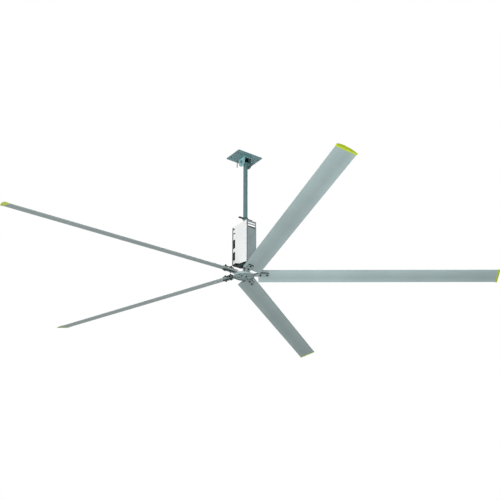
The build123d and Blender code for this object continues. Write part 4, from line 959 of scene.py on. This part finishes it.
class FAN_OT_drive_frame(Operator):
    """Rounds the frame plates and adds the frame bolts"""

    bl_idname = "fan.drive_frame"
    bl_label = "Drive frame"

    def execute(self, context):
        soften("frame_top_plate", "frame_paint", 0.6 * mm)
        soften("frame_bottom_plate", "frame_paint", 0.6 * mm)
        grip = 2 * socket_radius
        pattern = bolt("socket_bolt", m12, grip, grip + 16 * mm, washers=False)
        start = -socket_radius
        places = [spot(start, stem_y, in_plane(height), (0, 90, 0)) for height in socket_bolts_at]
        socket_bolts = scatter(pattern, "socket_bolts", places)
        pattern = bolt("side_bolt", m8, side_grip, side_grip + 9 * mm, washers=False)
        places = []
        for side, height in side_bolts:
            for y in (-side_bolt_y, side_bolt_y):
                places.append(spot(side * box_side, y, in_plane(height), (0, -90 * side, 0)))
        pieces = [socket_bolts, scatter(pattern, "side_bolts", places)]
        piece = joined("frame_bolts_finished", pieces)
        finish_piece(piece, "frame", "zinc_steel", "frame_bolts")
        return {"FINISHED"}


class FAN_OT_covers(Operator):
    """Rounds the side plates and covers, paints shade on their insides and adds screws and a dark
    strip of painted shade
    """

    bl_idname = "fan.covers"
    bl_label = "Covers"

    def execute(self, context):
        inner_shade = "dark_primer"
        right = soften("side_plate_right", "side_paint", 0.4 * mm, 1)
        left = soften("side_plate_left", "side_paint", 0.4 * mm, 1, finish="strip_paint")
        front = soften("front_cover", "cover_paint", 0.3 * mm, 1)
        rear = soften("rear_cover", "side_paint", 0.3 * mm, 1)
        # Painted shade on the insides: the left plate's inner face, the inner faces of the front
        # and rear covers, the front slots' walls turned to +X, and the right plate's inner face
        # below the windows
        repaint(left, inner_shade, lambda face: face.normal.x > 0.5)
        repaint(front, inner_shade, lambda face: (
            face.normal.y > 0.5 or face.normal.x > 0.5 and face.center.x < front_slot_edge
        ))
        repaint(rear, inner_shade, lambda face: face.normal.y < -0.5)
        repaint(right, inner_shade, lambda face: (
            face.normal.x < -0.5 and face.center.z < in_plane(window_foot)
        ))

        steps = [(2.5, -8), (2.5, 0), (4.6, 0), (4.6, 1.5), (3.7, 2.6), (1.7, 2.6), (1.5, 0.9)]
        pattern = turned("cover_screw", in_mm(steps), 16)
        places = []
        for screws, y, tilt in ((front_screws, -box_face, 90), (rear_screws, box_face, -90)):
            for x, height in in_mm(screws):
                places.append(spot(x, y, in_plane(height), (tilt, 0, 0)))
        cover_screws = scatter(pattern, "cover_screws", places)
        pattern = screw("drive_screw", m6, 24 * mm)
        seat = in_plane(socket_foot)
        places = [spot(x, y, seat, (180, 0, 0)) for x, y in corners(*drive_bolts_at)]
        pieces = [cover_screws, scatter(pattern, "drive_screws", places)]
        piece = joined("box_screws_finished", pieces)
        finish_piece(piece, "frame", "zinc_steel", "box_screws")

        # Dark strip along the front edge of the right side plate: painted shadow of the gap at the
        # corner, on the seal rubber slot
        bpy.ops.mesh.primitive_cube_add(size=1)
        corner_strip = started("corner_shadow_strip")
        foot, top = box_span
        corner_strip.scale = (corner_strip_thickness, corner_strip_width, top - foot - 2 * corner_strip_margin)
        middle = in_plane((foot + top) / 2)
        corner_strip.location = (box_side + corner_strip_thickness / 2, -box_face + corner_strip_inset, middle)
        bpy.ops.object.transform_apply(location=True, rotation=False, scale=True)
        apply_modifier(corner_strip, "BEVEL", width=0.5 * mm, segments=2)
        finish_piece(settle(corner_strip), "frame", "seal_rubber", finish="trim_rubber")
        return {"FINISHED"}


class FAN_OT_drive_unit(Operator):
    """Rounds the drive housing and the gearmotor's castings and adds their gland and bolts"""

    bl_idname = "fan.drive_unit"
    bl_label = "Drive unit and gearmotor"

    def add_gland(self):
        """Cable gland on the left end of the drive housing, with grip ribs on its nut."""
        base = hexagon("gland_base", 24 * mm, 0.0, 6 * mm)
        steps = [(10.5, 6), (10.5, 16), (9.6, 16), (9.6, 17), (10.4, 17), (11, 18), (11, 23)]
        steps += [(9.8, 25), (8, 26), (5.6, 26), (5, 25), (5, 8)]
        sides = 48
        nut = turned("gland_nut", in_mm(steps), sides)

        def in_groove(vertex):
            side = round(vertex.co.xy.angle_signed(Vector((1, 0))) / radians(360 / sides))
            return 17.5 * mm < vertex.co.z < 23.5 * mm and side % 2

        bpy.ops.object.mode_set(mode="EDIT")
        choose(nut, in_groove)
        bpy.ops.transform.resize(value=(0.94, 0.94, 1), center_override=(0, 0, 0))
        bpy.ops.object.mode_set(mode="OBJECT")
        shank = turned("gland_thread", thread(7.9 * mm, -11 * mm, 0.0, 1.5 * mm))
        lock = hexagon("gland_lock", 22 * mm, -9 * mm, -4 * mm)
        pattern = joined("gland", [base, nut, shank, lock])
        piece = scatter(pattern, "cable_gland_finished", [spot(*gland_at, (0, -90, 0))])
        slot = frame_slots["cable_gland"]
        finish_piece(piece, "frame", slot, "cable_gland", finish="gland_plastic")

    def execute(self, context):
        for node, slot, width in (
            ("drive_housing", "drive_casting", 0.8 * mm),
            ("gearcase_lower", "case_iron", 1.2 * mm),
            ("gearcase_upper", "case_iron", 1.2 * mm),
            ("motor_flange", "drive_casting", 1.0 * mm),
            ("motor_rear_cap", "drive_casting", 1.5 * mm),
            ("motor_housing", frame_slots["motor_housing"], 0.6 * mm),
        ):
            soften(node, slot, width)
        self.add_gland()
        pieces = []
        for name, grip, length, seat, tilt in (
            ("foot_bolt", 16 * mm, 24 * mm, foot_bolt_seat, 0),
            ("split_bolt", 12 * mm, 20 * mm, split_bolt_seat, 180),
        ):
            pattern = bolt(name, m6, grip, length, washers=False)
            places = [spot(x, y, in_plane(seat), (tilt, 0, 0)) for x, y in in_mm(case_bolts_at)]
            pieces.append(scatter(pattern, f"{name}s", places))
        pattern = screw("motor_bolt", m8, 20 * mm)
        seat = in_plane(motor_bolt_seat)
        places = [spot(x, y, seat, (180, 0, 0)) for x, y in corners(motor_bolts_at, motor_bolts_at)]
        pieces.append(scatter(pattern, "motor_bolts", places))
        piece = joined("gearmotor_bolts_finished", pieces)
        finish_piece(piece, "frame", "zinc_steel", "gearmotor_bolts")
        return {"FINISHED"}


class FAN_OT_hub(Operator):
    """Rounds the hub flange and disc and adds the hub bolts and screws"""

    bl_idname = "fan.hub"
    bl_label = "Hub"

    def execute(self, context):
        soften("hub_flange", "hub_paint", 1.0 * mm)
        disc = soften("hub_disc", "hub_paint", 0.6 * mm)
        # Painted highlight on the faces past the rim that turn outwards, and the strip paint as
        # painted shade on those that turn inwards
        for finish, way in (("rim_paint", 1), ("strip_paint", -1)):
            repaint(disc, finish, lambda face: (
                face.center.xy.length > disc_rim
                and face.normal.xy.dot(face.center.xy.normalized()) * way > 0.3
            ))
        pieces = []
        for radius, grip in hub_bolt_rings:
            grip += 2 * m12.washer_height
            pattern = bolt("hub_bolt", m12, grip, grip + 12 * mm)
            seat = disc_underside - m12.washer_height
            places = [on_blade(angle, radius, seat, 0) for angle in blade_angles]
            pieces.append(scatter(pattern, "hub_ring", places))
        piece = joined("hub_bolts_finished", pieces)
        finish_piece(piece, "rotor", "zinc_steel", "hub_bolts")

        steps = [(3, -18), (3, 0), (10, 0), (10, 2), (9.5, 2.5), (6.5, 2.5), (6.5, 8), (6, 8.5)]
        pattern = turned("disc_screw", in_mm(steps + [(3, 8.5), (2.8, 5)]))
        radius, turns = disc_screws_at
        places = []
        for turn in turns:
            x, y = radius * cos(radians(turn)), radius * sin(radians(turn))
            places.append(spot(x, y, in_plane(disc_underside), (180, 0, 0)))
        disc_screws = scatter(pattern, "disc_screws", places)
        pieces = [screw("shaft_screw", m16, 40 * mm), washer("end_washer", m16, tiny_gap)]
        pattern = joined("shaft_screw", pieces)
        shaft_screw = scatter(pattern, "shaft_screw", [spot(0, 0, in_plane(shaft_end))])
        piece = joined("hub_screws_finished", [disc_screws, shaft_screw])
        finish_piece(piece, "rotor", "black_steel", "hub_screws")
        return {"FINISHED"}


class FAN_OT_blade_roots(Operator):
    """Rounds the arms, straps and end caps and adds the blade bolts"""

    bl_idname = "fan.blade_roots"
    bl_label = "Arms, straps and end caps"

    def execute(self, context):
        for number, angle in enumerate(blade_angles, 1):
            arm = soften(f"blade_arm_{number}", "arm_steel", 0.8 * mm)
            # Painted shade on every face of the arm that isn't turned down
            repaint(arm, "dark_primer", lambda face: face.normal.z > -0.8)
            cap = soften(f"tip_cap_{number}", "cap_plastic", 1.6 * mm, 3, 50.0)
            # Painted shade on the outer end of the cap
            outwards = on_blade(angle, 0, 0).to_3x3() @ Vector((1, 0, 0))
            repaint(cap, "cap_shade", lambda face: face.normal.dot(outwards) > 0.7)
        soften("blade_clamp_straps", "black_steel", 1.5 * mm)
        grip = blade_grip + 2 * m12.washer_height
        pattern = bolt("blade_bolt", m12, grip, grip + 16 * mm)
        seat = arm_underside - m12.washer_height
        places = [on_blade(angle, r, seat) for angle in blade_angles for r in blade_bolts_at]
        piece = scatter(pattern, "blade_bolts_finished", places)
        finish_piece(piece, "rotor", "black_steel", "blade_bolts")
        return {"FINISHED"}


class FAN_PT_panel(Panel):
    """Lists the steps that finish the fan"""

    bl_idname = "FAN_PT_panel"
    bl_label = "Ceiling Fan"
    bl_space_type = "VIEW_3D"
    bl_region_type = "UI"
    bl_category = "Ceiling Fan"

    def draw(self, context):
        for name, group in groups.items():
            for setting in group.__annotations__:
                self.layout.prop(getattr(context.scene, name), setting)
        for operator in operators:
            self.layout.operator(operator.bl_idname)


groups = {"fan_colours": FanColours, "fan_details": FanDetails, "fan_studio": StudioSettings}
operators = (
    FAN_OT_stage, FAN_OT_paint_solids, FAN_OT_hanger, FAN_OT_stem, FAN_OT_drive_frame,
    FAN_OT_covers, FAN_OT_drive_unit, FAN_OT_hub, FAN_OT_blade_roots,
)


def register():
    """Registers the classes and hangs the settings on the scene."""
    for cls in (*groups.values(), *operators, FAN_PT_panel):
        bpy.utils.register_class(cls)
    for name, group in groups.items():
        setattr(bpy.types.Scene, name, PointerProperty(type=group))


def unregister():
    """Takes the settings and classes away again."""
    for name in groups:
        delattr(bpy.types.Scene, name)
    for cls in (FAN_PT_panel, *reversed(operators), *groups.values()):
        bpy.utils.unregister_class(cls)


def main():
    """Runs every step in order."""
    register()
    for operator in operators:
        group, name = operator.bl_idname.split(".")
        getattr(getattr(bpy.ops, group), name)()


if __name__ == "__main__":
    main()
